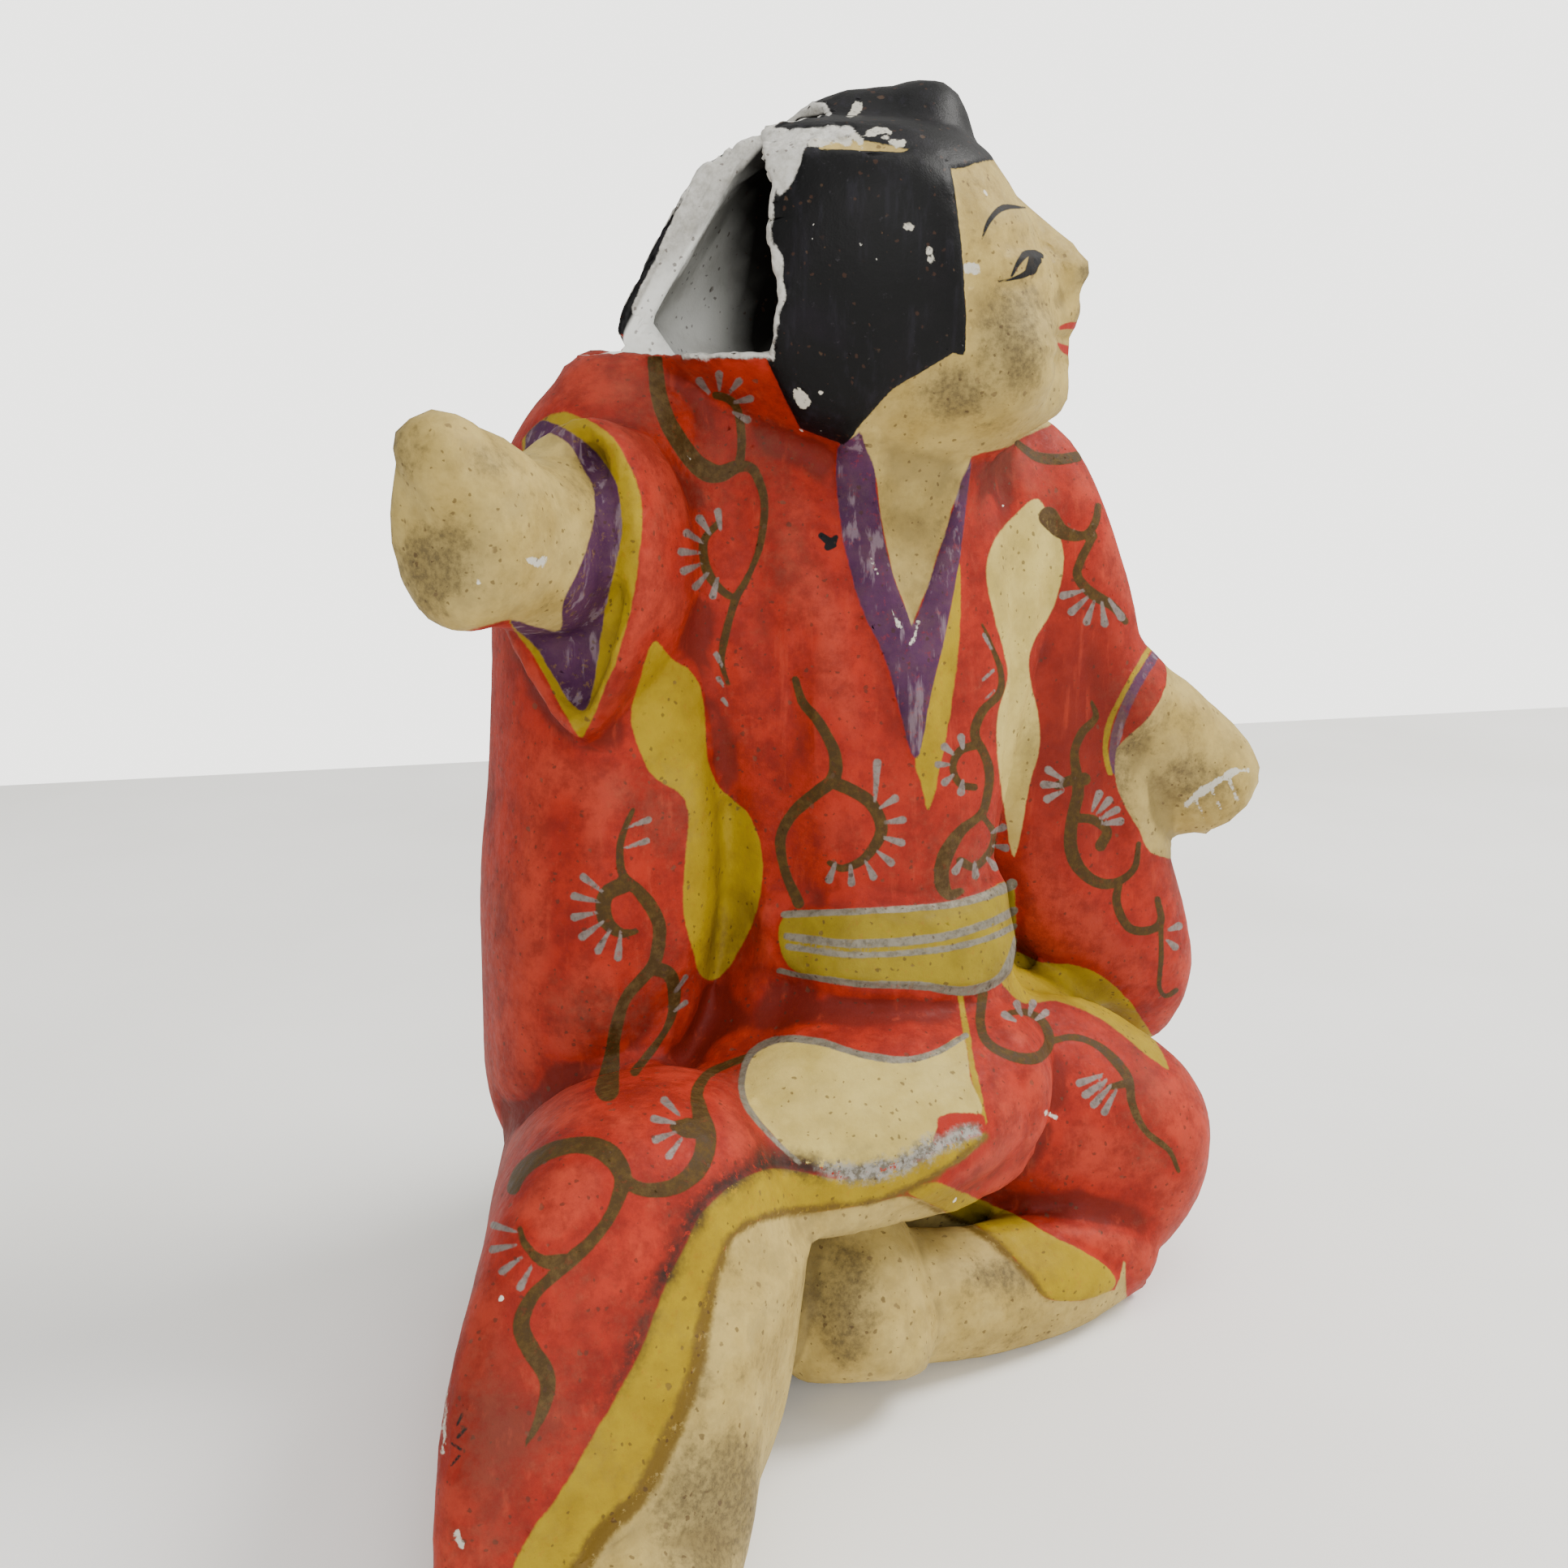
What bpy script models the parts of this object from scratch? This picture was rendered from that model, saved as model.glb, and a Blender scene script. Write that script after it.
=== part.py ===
"""A seated clay doll, pressed hollow in a mould, with the back of its head broken open.

The figure is drawn in steps, 240 of them to its height. The doll looks out over its
front, which is -Y, its left hand is towards +X and it sits on the plane z = 0.
"""
import math

import bmesh
import bpy
import numpy as np
from mathutils import Matrix, Vector, noise
from mathutils.bvhtree import BVHTree

HEIGHT = 0.240            # ground to the top of the hair
WALL = 0.0045             # thickness of the pressed clay
GRAIN = 0.0016            # cell size in which the masses are fused
HOLLOW_GRAIN = 0.0035     # the same for the inside
OUTER_FACES = 7400        # triangles kept on the outer skin
HOLLOW_FACES = 1500       # triangles kept on the inner skin

STEP = HEIGHT / 240.0
HEAD_TURN = math.radians(70.0)    # the head looks this far to the doll's left
HEAD_AXIS = (-2.4, -6.6)          # where the middle of the head stands, in steps

# Masses of the figure in steps. A row of a column is one slice: its height, then its
# low and high x and its low and high y. A lying column is sliced front to back and
# its rows hold y, the x pair and the z pair. A row of a limb is a place on its path
# with the half width and half height there.

BODY = ((-4, -50, 42, -30, 38), (14, -54, 46, -34, 42), (34, -50, 46, -40, 43),
        (56, -42, 42, -45, 41), (74, -33, 33, -44, 37), (88, -29, 31, -39, 34),
        (106, -31, 35, -37, 33), (126, -36, 40, -35, 32), (146, -43, 45, -31, 31),
        (162, -47, 49, -26, 29), (174, -50, 47, -20, 26), (183, -49, 36, -14, 22),
        (189, -46, 8, -8, 16))
RIGHT_SLEEVE = ((36, -70, -50, -16, 8), (48, -74, -42, -29, 16), (68, -74, -33, -35, 20),
                (92, -73, -28, -34, 22), (112, -70, -27, -31, 24), (134, -68, -26, -26, 24),
                (152, -67, -26, -24, 24), (166, -66, -26, -22, 22), (176, -62, -26, -19, 18),
                (184, -56, -26, -14, 13), (190, -49, -28, -6, 8))
BACK = ((30, -62, 58, 0, 14), (44, -69, 76, -2, 20), (70, -71, 78, -2, 24),
        (100, -69, 72, -2, 26), (130, -66, 66, -2, 27), (156, -63, 58, -2, 25),
        (172, -58, 49, -2, 20), (182, -50, 36, -2, 14))
LEFT_SLEEVE = ((36, 73, 83, -6, 6), (46, 63, 88, -12, 10), (58, 50, 89, -16, 14),
               (72, 38, 85, -18, 16), (90, 30, 79, -18, 18), (110, 26, 74, -18, 18),
               (130, 24, 71, -18, 18), (148, 26, 65, -18, 18), (164, 28, 58, -16, 18),
               (174, 30, 52, -12, 14), (180, 32, 44, -8, 10))
RIGHT_ARM = ((-52, -12, 158, 14, 15), (-61, -23, 159, 14, 16), (-67, -31, 159.5, 13, 14.5),
             (-72, -37, 161, 12, 14), (-77, -43, 163.5, 12, 15.8), (-81.5, -47.5, 164, 11.5, 15.8),
             (-84.5, -50.5, 164, 8, 12.5))
THUMB = ((-81, -48.5, 174.5), (5.4, 6.2, 8.0))       # middle and reach
LEFT_ARM = ((62, -3, 118, 13, 13), (73, -5, 111, 12.5, 13), (81, -6, 105, 12.5, 13.5),
            (87, -7, 99.5, 12.5, 13.5), (91, -8, 96, 11, 12), (93, -8, 94, 7, 8))
HEAD = ((171, -8, 30, -15, 15), (175, -14, 36, -20, 20), (180, -22, 41, -25, 25),
        (187, -32, 42.5, -28, 28), (195, -39, 42.5, -30, 30), (204, -34.5, 42, -31, 31),
        (212, -30.5, 38, -31, 31), (219, -26.5, 33.5, -30, 30), (225, -23, 29, -27, 27),
        (229, -18, 23, -21, 21), (231, -12, 16, -12, 12))
NECK = ((150, -14, 24, -18, 14), (164, -14, 27, -17, 15), (178, -16, 28, -18, 18),
        (190, -20, 26, -22, 22))
RIGHT_LEG = ((20, -62, -30, 0, 36), (2, -72, -28, -4, 45), (-22, -77, -28, -4, 58),
             (-44, -82, -26, -4, 68), (-62, -86, -29, -4, 73), (-78, -91, -36, -4, 72),
             (-90, -97, -45, -4, 60), (-100, -100, -51, -4, 38), (-106, -100, -57, -4, 22))
RIGHT_FOOT = ((-92, -90, -51, -4, 24), (-108, -91, -56, -4, 21), (-120, -89, -61, -4, 15),
              (-127, -83, -66, -4, 8))
LAP = ((10, -40, 36, 20, 66), (-12, -42, 40, 22, 70), (-34, -44, 36, 26, 72),
       (-52, -46, 26, 36, 70), (-64, -48, 12, 42, 64), (-71, -44, -2, 46, 58))
LEFT_THIGH = ((8, -4, 40, 28, 30), (30, -16, 38, 27, 27), (47, -25, 31, 25, 25),
              (57, -31, 23, 21, 24), (64, -34, 18, 17, 19), (69, -36, 15, 9, 11))
LEFT_SHIN = ((50, -40, 11, 11, 12), (32, -46, 10, 12, 12), (12, -49, 11, 12, 12),
             (-6, -50, 15, 12, 13))
LEFT_FOOT = ((-14, -44, 27, 12, 13), (-15, -51, 21, 14, 15), (-16, -58, 13, 14.5, 15),
             (-17, -62, 7, 12, 10))

# Sleeve mouths: centre, the way the arm comes out, then the egg's reach towards the
# front, the back, the top and the tip.

RIGHT_MOUTH = ((-58.5, -30.5, 153.7), (-0.76, -0.64, 0.10), (13.5, 20.0, 27.0, 28.0))
LEFT_MOUTH = ((68.0, -5.0, 115.0), (0.75, -0.10, -0.65), (16.0, 15.0, 14.0, 17.0))
CUFF_RIM = 4.0            # width of the sleeve's edge
CUFF_DEPTH = 5.0          # how far the mouth sinks behind it

# Lines of the carving, in steps, laid on the nearest skin.

SLEEVE_VALLEY = ((-29, -22, 172), (-25, -28, 150), (-23, -32, 131), (-24, -34, 114),
                 (-23, -36, 99), (-22, -38, 88))
LEFT_VALLEY = ((29, -20, 168), (30, -23, 150), (30, -25, 130), (30, -27, 110), (31, -28, 92))
LAP_CREASE = ((-76, -12, 47), (-66, -28, 57), (-50, -37, 68), (-36, -38, 75), (-24, -42, 79))
LEFT_SLEEVE_CREASE = ((33, -26, 74), (46, -20, 64), (58, -14, 54), (68, -8, 44))
HEM = ((14, -46, 50), (8, -56, 47), (-20, -68, 47), (-42, -76, 47), (-55, -85, 46),
       (-62, -93, 34), (-70, -99, 22), (-79, -104, 8))
LEFT_HEM = ((-4, -54, 40), (16, -54, 29), (34, -52, 18), (52, -48, 6))
PANEL_EDGE = ((15, -44, 68), (14, -50, 60), (13, -54, 50))
RIGHT_THUMB = ((-72, -50, 178), (-75, -48, 172), (-77, -49, 165), (-76, -52, 158))
FINGER_LINES = (((92, -16, 90), (99, -10, 97)), ((89, -17, 88), (96, -13, 93)),
                ((95, -14, 93), (102, -7, 101)))
TOES = (-82, -77, -72, -67)      # x of the gaps between the right foot's toes
SLEEVE_FOLDS = (((-44, -34, 118), (-45, -36, 96), (-50, -36, 74)),
                ((-62, -28, 112), (-64, -30, 88), (-66, -28, 64)),
                ((52, -22, 132), (56, -22, 106), (62, -18, 80)))
RIGHT_COLLAR = ((-2, -20, 177), (-3, -26, 162), (0, -31, 142), (7, -37, 118))
LEFT_COLLAR = ((21, -18, 173), (14, -27, 156), (8, -33, 138), (4, -35, 131))
LEFT_CUFF_EDGE = ((80, -2, 128), (73, -14, 117), (66, -18, 107), (63, -17, 98))
OBI = ((-24, 91, 79), (-8, 88.5, 74.5), (9, 87.5, 72), (29, 90, 72.5))     # x, top, bottom

# How the lines are cut: grooves have a width and a depth, edges a height and a reach.

DEEP_FOLDS = ((SLEEVE_VALLEY, 7.0, 2.6), (LEFT_VALLEY, 4.0, 2.4), (LAP_CREASE, 3.0, 2.2),
              (LEFT_SLEEVE_CREASE, 3.0, 2.0))
COLLAR_BANDS = ((RIGHT_COLLAR, 3.2), (LEFT_COLLAR, 2.6))
COLLAR_LIFT = 1.3
EDGES = ((PANEL_EDGE, 1.8, 10.0), (LEFT_CUFF_EDGE, 1.6, 9.0), (HEM, 2.2, 12.0),
         (LEFT_HEM, 1.8, 9.0))
THUMB_CREASE = (1.8, 1.4)
FINGER_CREASE = (1.3, 1.0)
TOE_CREASE = (1.4, 1.5)
TOE_FRONT = (-128, 4)     # y and z of a toe gap's low end
TOE_TOP = (-122, 14)      # and of its high end
SOFT_FOLD = (4.0, 1.2)
OBI_LIFT = 2.2
OBI_FRONT = -8.0          # behind this y there is no sash
STEEP = 2.2               # how sharply a band's edge rises
LINE_REACH = 30.0         # points farther than this from a line are left alone
FAR = 1000.0

# The head, in its own frame: x is the way it faces, y its left side.

NOSE = ((33, 0, 217, 3.0, 3.0), (37.5, 0, 212, 4.0, 4.0), (43.0, 0, 206.5, 5.2, 4.6),
        (46.0, 0, 203, 5.2, 4.4))
SIDE_HAIR = ((19, 222), (20.5, 206), (22, 191), (9.5, 184.5), (1.5, 175), (-8, 181),
             (-12, 188), (-50, 186), (-50, 224), (-20, 224.5), (0, 224))
HAIR_DEPTH = 1.3

# The break, in the head's frame: outline of what is gone, facing and height.

BREAK = ((-70, 190.5), (-40, 190.5), (-11, 190.5), (-9.5, 200), (-11.5, 209), (-10.5, 217),
         (-12, 224), (-11, 240), (-70, 240))
BREAK_SIDE = -7.0         # at its foot it starts this far towards the head's right side
BREAK_LEAN = 0.32         # and leans over to the left side by this much of its height
BREAK_FOOT = 190.5
TORN_CROWN = ((-9, -9, 232), (8, 9, 8))       # a bite out of the crown: middle and reach
BREAK_TEAR = 1.1          # how far the broken edge wanders


def clear_scene():
    for old in list(bpy.data.objects):
        bpy.data.objects.remove(old, do_unlink=True)


def head_frame():
    turn = Matrix.Rotation(HEAD_TURN - math.pi / 2, 4, "Z")
    return Matrix.Translation((HEAD_AXIS[0], HEAD_AXIS[1], 0.0)) @ turn


def smooth_rows(rows, count):
    """Spread count rows over the given ones, on a smooth curve through them all."""
    rows = np.array(rows, float)
    spots = np.linspace(0.0, len(rows) - 1.0, count)
    first = np.clip(spots.astype(int), 0, len(rows) - 2)
    t = (spots - first)[:, None]
    slope = np.gradient(rows, axis=0)
    start, end = rows[first], rows[first + 1]
    return ((2 * t ** 3 - 3 * t ** 2 + 1) * start + (t ** 3 - 2 * t ** 2 + t) * slope[first]
            + (3 * t ** 2 - 2 * t ** 3) * end + (t ** 3 - t ** 2) * slope[first + 1])


def link(name, work):
    """Turn a bmesh whose points are in steps into an object in metres."""
    bmesh.ops.recalc_face_normals(work, faces=work.faces)
    work.transform(Matrix.Scale(STEP, 4))
    mesh = bpy.data.meshes.new(name)
    work.to_mesh(mesh)
    work.free()
    solid = bpy.data.objects.new(name, mesh)
    bpy.context.collection.objects.link(solid)
    return solid


def skin(name, rings):
    """Close a row of equal rings into a solid."""
    work = bmesh.new()
    loops = [[work.verts.new(spot) for spot in ring] for ring in rings]
    for lower, upper in zip(loops, loops[1:]):
        for i in range(len(lower)):
            j = (i + 1) % len(lower)
            work.faces.new((lower[i], lower[j], upper[j], upper[i]))
    work.faces.new(loops[0])
    work.faces.new(loops[-1])
    return link(name, work)


def oval(half_a, half_b, squareness, sides=28):
    """Points around an oval; squareness 2 is an ellipse and more is boxier."""
    power = 2.0 / squareness
    around = []
    for i in range(sides):
        angle = 2 * math.pi * i / sides
        c, s = math.cos(angle), math.sin(angle)
        around.append((math.copysign(abs(c) ** power, c) * half_a,
                       math.copysign(abs(s) ** power, s) * half_b))
    return around


def column(name, rows, thin=0.0, frame=None, lying=False, squareness=2.4, count=26):
    """A mass from a table of slices; thin takes that much off every side."""
    table = smooth_rows(rows, count)
    low, high = table[:, 0].min() + thin, table[:, 0].max() - thin
    table[:, 0] = low + (table[:, 0] - low + thin) / (high - low + 2 * thin) * (high - low)
    rings = []
    for level, low_a, high_a, low_b, high_b in table:
        ring = []
        for a, b in oval(max((high_a - low_a) / 2 - thin, 0.6),
                         max((high_b - low_b) / 2 - thin, 0.6), squareness):
            across, other = (low_a + high_a) / 2 + a, (low_b + high_b) / 2 + b
            spot = Vector((across, level, other)) if lying else Vector((across, other, level))
            ring.append(frame @ spot if frame else spot)
        rings.append(ring)
    return skin(name, rings)


def limb(name, stations, thin=0.0, frame=None, squareness=2.1, count=20):
    """A round mass along a path of stations."""
    table = smooth_rows(stations, count)
    rings = []
    for spot, way, half_a, half_b in zip(table[:, :3], np.gradient(table[:, :3], axis=0),
                                         table[:, 3], table[:, 4]):
        way = Vector(way).normalized()
        side = way.cross(Vector((0, 0, 1))).normalized()
        rise = side.cross(way)
        ring = [Vector(spot) + side * a + rise * b for a, b in
                oval(max(half_a - thin, 0.6), max(half_b - thin, 0.6), squareness)]
        rings.append([frame @ spot for spot in ring] if frame else ring)
    return skin(name, rings)


def lump(name, centre, radii, frame=None, lean=(0.0, 0.0, 0.0)):
    """An egg of clay: centre and radii in steps, lean in degrees about x, y and z."""
    work = bmesh.new()
    bmesh.ops.create_uvsphere(work, u_segments=20, v_segments=12, radius=1.0)
    turn = Matrix.Identity(4)
    for angle, axis in zip(lean, "XYZ"):
        turn = Matrix.Rotation(math.radians(angle), 4, axis) @ turn
    place = Matrix.Translation(centre) @ turn @ Matrix.Diagonal((*radii, 1.0))
    work.transform((frame or Matrix.Identity(4)) @ place)
    return link(name, work)


def cuff(name, mouth):
    """The end of a sleeve: an egg-shaped mouth with a rim, sunk inside, tip down."""
    centre, way, (front, back, top, tip) = mouth
    centre, way = Vector(centre), Vector(way).normalized()
    side = way.cross(Vector((0, 0, 1))).normalized()
    rise = side.cross(way)
    rings = []
    for behind, size in ((30, 0.62), (16, 0.95), (4, 1.02), (0, 1.0), (0, None),
                         (CUFF_DEPTH, None), (CUFF_DEPTH + 0.1, 0.2)):
        ring = []
        for i in range(32):
            angle = 2 * math.pi * i / 32
            c, s = math.cos(angle), math.sin(angle)
            pinch = 1.0 - 0.55 * max(-s, 0.0) ** 1.5
            across = c * (back if c > 0 else front) * pinch
            high = s * (top if s > 0 else tip)
            if size is None:
                reach = math.hypot(across, high)
                shrink = (reach - CUFF_RIM) / reach
            else:
                shrink = size
            ring.append(centre - way * behind + side * across * shrink + rise * high * shrink)
        rings.append(ring)
    return skin(name, rings)


def outer_masses():
    head = head_frame()
    masses = [
        column("body", BODY),
        column("right_sleeve", RIGHT_SLEEVE),
        column("left_sleeve", LEFT_SLEEVE),
        column("back", BACK, squareness=3.0),
        cuff("right_cuff", RIGHT_MOUTH),
        cuff("left_cuff", LEFT_MOUTH),
        limb("right_arm", RIGHT_ARM),
        lump("right_thumb", *THUMB),
        limb("left_arm", LEFT_ARM),
        column("head", HEAD, frame=head, squareness=2.3),
        column("neck", NECK, frame=head, squareness=2.0),
        limb("nose", NOSE, frame=head),
        lump("upper_lip", (42.8, 0, 197.0), (4.6, 6.5, 2.6), frame=head),
        lump("lower_lip", (42.2, 0, 190.8), (4.2, 5.5, 2.4), frame=head),
        lump("chin", (37.5, 0, 184), (8.2, 10, 7), frame=head),
        lump("topknot", (8, 0, 227.5), (18, 10, 10), frame=head),
        lump("front_lock", (16.5, 0, 230.5), (8.5, 11.5, 8.4), frame=head),
        column("right_leg", RIGHT_LEG, lying=True, squareness=2.4),
        column("right_foot", RIGHT_FOOT, lying=True, squareness=2.2),
        column("lap", LAP, lying=True, squareness=2.3),
        limb("left_thigh", LEFT_THIGH),
        limb("left_shin", LEFT_SHIN),
        limb("left_foot", LEFT_FOOT),
    ]
    for side in (-1, 1):
        masses.append(lump("cheek", (25, side * 15, 190), (16, 13, 14), frame=head))
    return masses


def inner_masses():
    """The hollow: the thick masses, thinned by the wall."""
    wall = WALL / STEP
    head = head_frame()
    return [
        column("body", BODY, thin=wall),
        column("right_sleeve", RIGHT_SLEEVE, thin=wall),
        column("left_sleeve", LEFT_SLEEVE, thin=wall),
        column("back", BACK, thin=wall, squareness=3.0),
        column("head", HEAD, thin=wall, frame=head, squareness=2.3),
        column("neck", NECK, thin=wall, frame=head, squareness=2.0),
        column("right_leg", RIGHT_LEG, thin=wall, lying=True),
        column("lap", LAP, thin=wall, lying=True, squareness=2.3),
        limb("left_thigh", LEFT_THIGH, thin=wall),
    ]


def settle(solid):
    """Apply an object's modifiers."""
    graph = bpy.context.evaluated_depsgraph_get()
    mesh = bpy.data.meshes.new_from_object(solid.evaluated_get(graph))
    solid.modifiers.clear()
    solid.data = mesh
    return solid


def fuse(name, masses, cell, passes):
    """Melt overlapping masses into one closed skin and smooth it."""
    work = bmesh.new()
    for mass in masses:
        work.from_mesh(mass.data)
        bpy.data.objects.remove(mass, do_unlink=True)
    mesh = bpy.data.meshes.new(name)
    work.to_mesh(mesh)
    work.free()
    solid = bpy.data.objects.new(name, mesh)
    bpy.context.collection.objects.link(solid)
    melt = solid.modifiers.new("melt", "REMESH")
    melt.mode = "VOXEL"
    melt.voxel_size = cell
    even = solid.modifiers.new("even", "SMOOTH")
    even.factor = 0.5
    even.iterations = passes
    return settle(solid)


class Carving:
    """The skin's points and normals in steps, with the ways of carving it."""

    def __init__(self, solid):
        self.mesh = solid.data
        self.read()
        sides = [tuple(face.vertices) for face in self.mesh.polygons]
        self.tree = BVHTree.FromPolygons(self.points.tolist(), sides)

    def read(self):
        count = len(self.mesh.vertices)
        flat = np.empty(count * 3)
        self.mesh.vertices.foreach_get("co", flat)
        self.points = flat.reshape(-1, 3) / STEP
        self.mesh.vertex_normals.foreach_get("vector", flat)
        self.normals = flat.reshape(-1, 3).copy()

    def move(self, amount):
        """Move every point along its normal, out where amount is positive."""
        self.points += self.normals * amount[:, None]
        self.mesh.vertices.foreach_set("co", (self.points * STEP).ravel())
        self.mesh.update()
        self.read()

    def route(self, spots, count=60):
        """A smooth line through the spots, laid on the skin."""
        line = smooth_rows(spots, count)
        return np.array([self.tree.find_nearest(Vector(p))[0] for p in line.tolist()])

    def nearest(self, line):
        """For each point: distance to the line, and side of it seen from outside."""
        near = np.all((self.points > line.min(axis=0) - LINE_REACH)
                      & (self.points < line.max(axis=0) + LINE_REACH), axis=1)
        points, normals = self.points[near], self.normals[near]
        best = np.full(len(points), FAR)
        side = np.zeros(len(points))
        for start, end in zip(line, line[1:]):
            way = end - start
            length = max(way @ way, 1e-9)
            away = points - start
            t = np.clip(away @ way / length, 0.0, 1.0)
            away -= t[:, None] * way
            gap = np.linalg.norm(away, axis=1)
            nearer = gap < best
            best[nearer] = gap[nearer]
            turn = np.einsum("ij,ij->i", np.cross(way, away), normals)
            side[nearer] = np.sign(turn[nearer])
        gaps, sides = np.full(len(near), FAR), np.zeros(len(near))
        gaps[near], sides[near] = best, side
        return gaps, sides

    def groove(self, spots, width, depth):
        """Press a soft line in, or raise it where depth is negative."""
        gap, _ = self.nearest(self.route(spots))
        self.move(-depth * np.exp(-(gap / width) ** 2))

    def band(self, spots, width, height):
        """Raise a flat band along the line."""
        gap, _ = self.nearest(self.route(spots))
        self.move(height / (1.0 + np.exp(np.minimum((gap - width) * STEEP, 50.0))))

    def ledge(self, spots, height, reach):
        """Raise the skin on the line's left hand, falling away over its reach."""
        gap, side = self.nearest(self.route(spots))
        across = np.clip(side * gap * 1.6, -50.0, 50.0)
        lift = height * np.exp(-(gap / reach) ** 2) / (1.0 + np.exp(-across))
        self.move(lift)


def inside(outline, a, b):
    """Distance in or out of an outline for points a, b of its plane; in is positive."""
    best = np.full(len(a), 1e9)
    within = np.zeros(len(a), bool)
    for (a0, b0), (a1, b1) in zip(outline, outline[1:] + outline[:1]):
        way_a, way_b = a1 - a0, b1 - b0
        t = np.clip(((a - a0) * way_a + (b - b0) * way_b) / (way_a ** 2 + way_b ** 2), 0, 1)
        best = np.minimum(best, np.hypot(a - a0 - t * way_a, b - b0 - t * way_b))
        crosses = (b0 > b) != (b1 > b)
        within ^= crosses & (a < way_a * (b - b0) / (way_b or 1e-9) + a0)
    return np.where(within, best, -best)


def carve_hair(carving):
    """The hair at the sides lies thicker than the face and the shaved crown."""
    to_head = np.array(head_frame().inverted())
    local = carving.points @ to_head[:3, :3].T + to_head[:3, 3]
    edge = inside(SIDE_HAIR, local[:, 0], local[:, 2])
    sideways = np.clip((np.abs(local[:, 1]) - 9.0) / 3.0, 0.0, 1.0)
    back = np.clip((-14.0 - local[:, 0]) / 4.0, 0.0, 1.0)
    carving.move(HAIR_DEPTH * np.maximum(sideways, back) / (1.0 + np.exp(-edge * 2.0)))


def carve_obi(carving):
    """The sash around the waist."""
    x, y, z = carving.points.T
    spots, tops, bottoms = np.array(OBI).T
    top, bottom = np.interp(x, spots, tops), np.interp(x, spots, bottoms)
    up_down = np.minimum(top - z, z - bottom)
    ends = np.minimum(x - spots[0], spots[-1] - x)
    edge = np.where(y < OBI_FRONT, np.minimum(up_down, ends), OBI_FRONT)
    carving.move(OBI_LIFT / (1.0 + np.exp(-edge * STEEP)))


def carve(doll):
    carving = Carving(doll)
    for line, width, depth in DEEP_FOLDS:
        carving.groove(line, width, depth)
    carve_obi(carving)
    for line, width in COLLAR_BANDS:
        carving.band(line, width, COLLAR_LIFT)
    for line, height, reach in EDGES:
        carving.ledge(line, height, reach)
    carving.groove(RIGHT_THUMB, *THUMB_CREASE)
    for line in FINGER_LINES:
        carving.groove(line, *FINGER_CREASE)
    for x in TOES:
        front, top = Vector((x, *TOE_FRONT)), Vector((x + 1, *TOE_TOP))
        carving.groove((front, top), *TOE_CREASE)
    for line in SLEEVE_FOLDS:
        carving.groove(line, *SOFT_FOLD)
    carve_hair(carving)


def level_off(solid, level):
    """Cut the solid off flat at a height and close the cut."""
    work = bmesh.new()
    work.from_mesh(solid.data)
    bmesh.ops.bisect_plane(work, geom=work.verts[:] + work.edges[:] + work.faces[:],
                           plane_co=(0, 0, level), plane_no=(0, 0, 1), clear_inner=True)
    bmesh.ops.holes_fill(work, edges=[edge for edge in work.edges if edge.is_boundary])
    bmesh.ops.triangulate(work, faces=work.faces[:])
    bmesh.ops.recalc_face_normals(work, faces=work.faces)
    work.to_mesh(solid.data)
    work.free()


def thin_out(solid, faces):
    """Keep about this many triangles, most of them where the form bends."""
    solid.data.calc_loop_triangles()
    sparse = solid.modifiers.new("sparse", "DECIMATE")
    sparse.ratio = min(1.0, faces / len(solid.data.loop_triangles))
    sparse.use_collapse_triangulate = True
    return settle(solid)


def torn_block():
    """What the break takes away: a block on the head's right side with a torn face."""
    head = head_frame()
    rings = []
    for side, lean in ((BREAK_SIDE, BREAK_LEAN), (-20, 0.0), (-40, 0.0), (-60, 0.0)):
        ring = []
        for (a0, b0), (a1, b1) in zip(BREAK, BREAK[1:] + BREAK[:1]):
            for t in (0.0, 0.25, 0.5, 0.75):
                height = b0 + (b1 - b0) * t
                spot = Vector((a0 + (a1 - a0) * t, side + (height - BREAK_FOOT) * lean, height))
                spot += noise.noise_vector(spot * 0.23) * BREAK_TEAR
                ring.append(head @ spot)
        rings.append(ring)
    return skin("torn_block", rings)


def take_away(doll, cutter):
    """Cut one solid out of the doll."""
    cutter.hide_render = True
    cutter.display_type = "WIRE"
    cut = doll.modifiers.new(cutter.name, "BOOLEAN")
    cut.operation = "DIFFERENCE"
    cut.solver = "EXACT"
    cut.object = cutter


def clay(name, colour, roughness):
    material = bpy.data.materials.new(name)
    material.use_nodes = True
    shader = material.node_tree.nodes["Principled BSDF"]
    shader.inputs["Base Color"].default_value = (*colour, 1.0)
    shader.inputs["Roughness"].default_value = roughness
    shader.inputs["Metallic"].default_value = 0.0
    return material


def build():
    clear_scene()
    doll = fuse("doll", outer_masses(), GRAIN, 7)
    carve(doll)
    level_off(doll, 0.0)
    thin_out(doll, OUTER_FACES)
    hollow = fuse("hollow", inner_masses(), HOLLOW_GRAIN, 4)
    level_off(hollow, WALL)
    thin_out(hollow, HOLLOW_FACES)
    take_away(doll, hollow)
    take_away(doll, torn_block())
    scoop = lump("torn_crown", *TORN_CROWN, frame=head_frame())
    take_away(doll, scoop)
    doll.data.materials.clear()
    doll.data.materials.append(clay("painted_clay", (0.55, 0.05, 0.03), 0.6))
    doll.data.shade_smooth()
    doll.data.set_sharp_from_angle(angle=math.radians(50))


build()
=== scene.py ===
"""Looks of the seated clay doll: painted robe, broken head, worn brushwork.

The doll's own measures are millimetres, the same as in its carving, with the front
at -Y. The painting is laid out as the photograph's camera sees it, in pixels of a
picture 1932 wide and high, and is carried onto the clay along the lines of sight.
"""
import math

import bmesh
import bpy
import numpy as np
from mathutils import Matrix, Vector, noise
from mathutils.bvhtree import BVHTree


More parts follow.
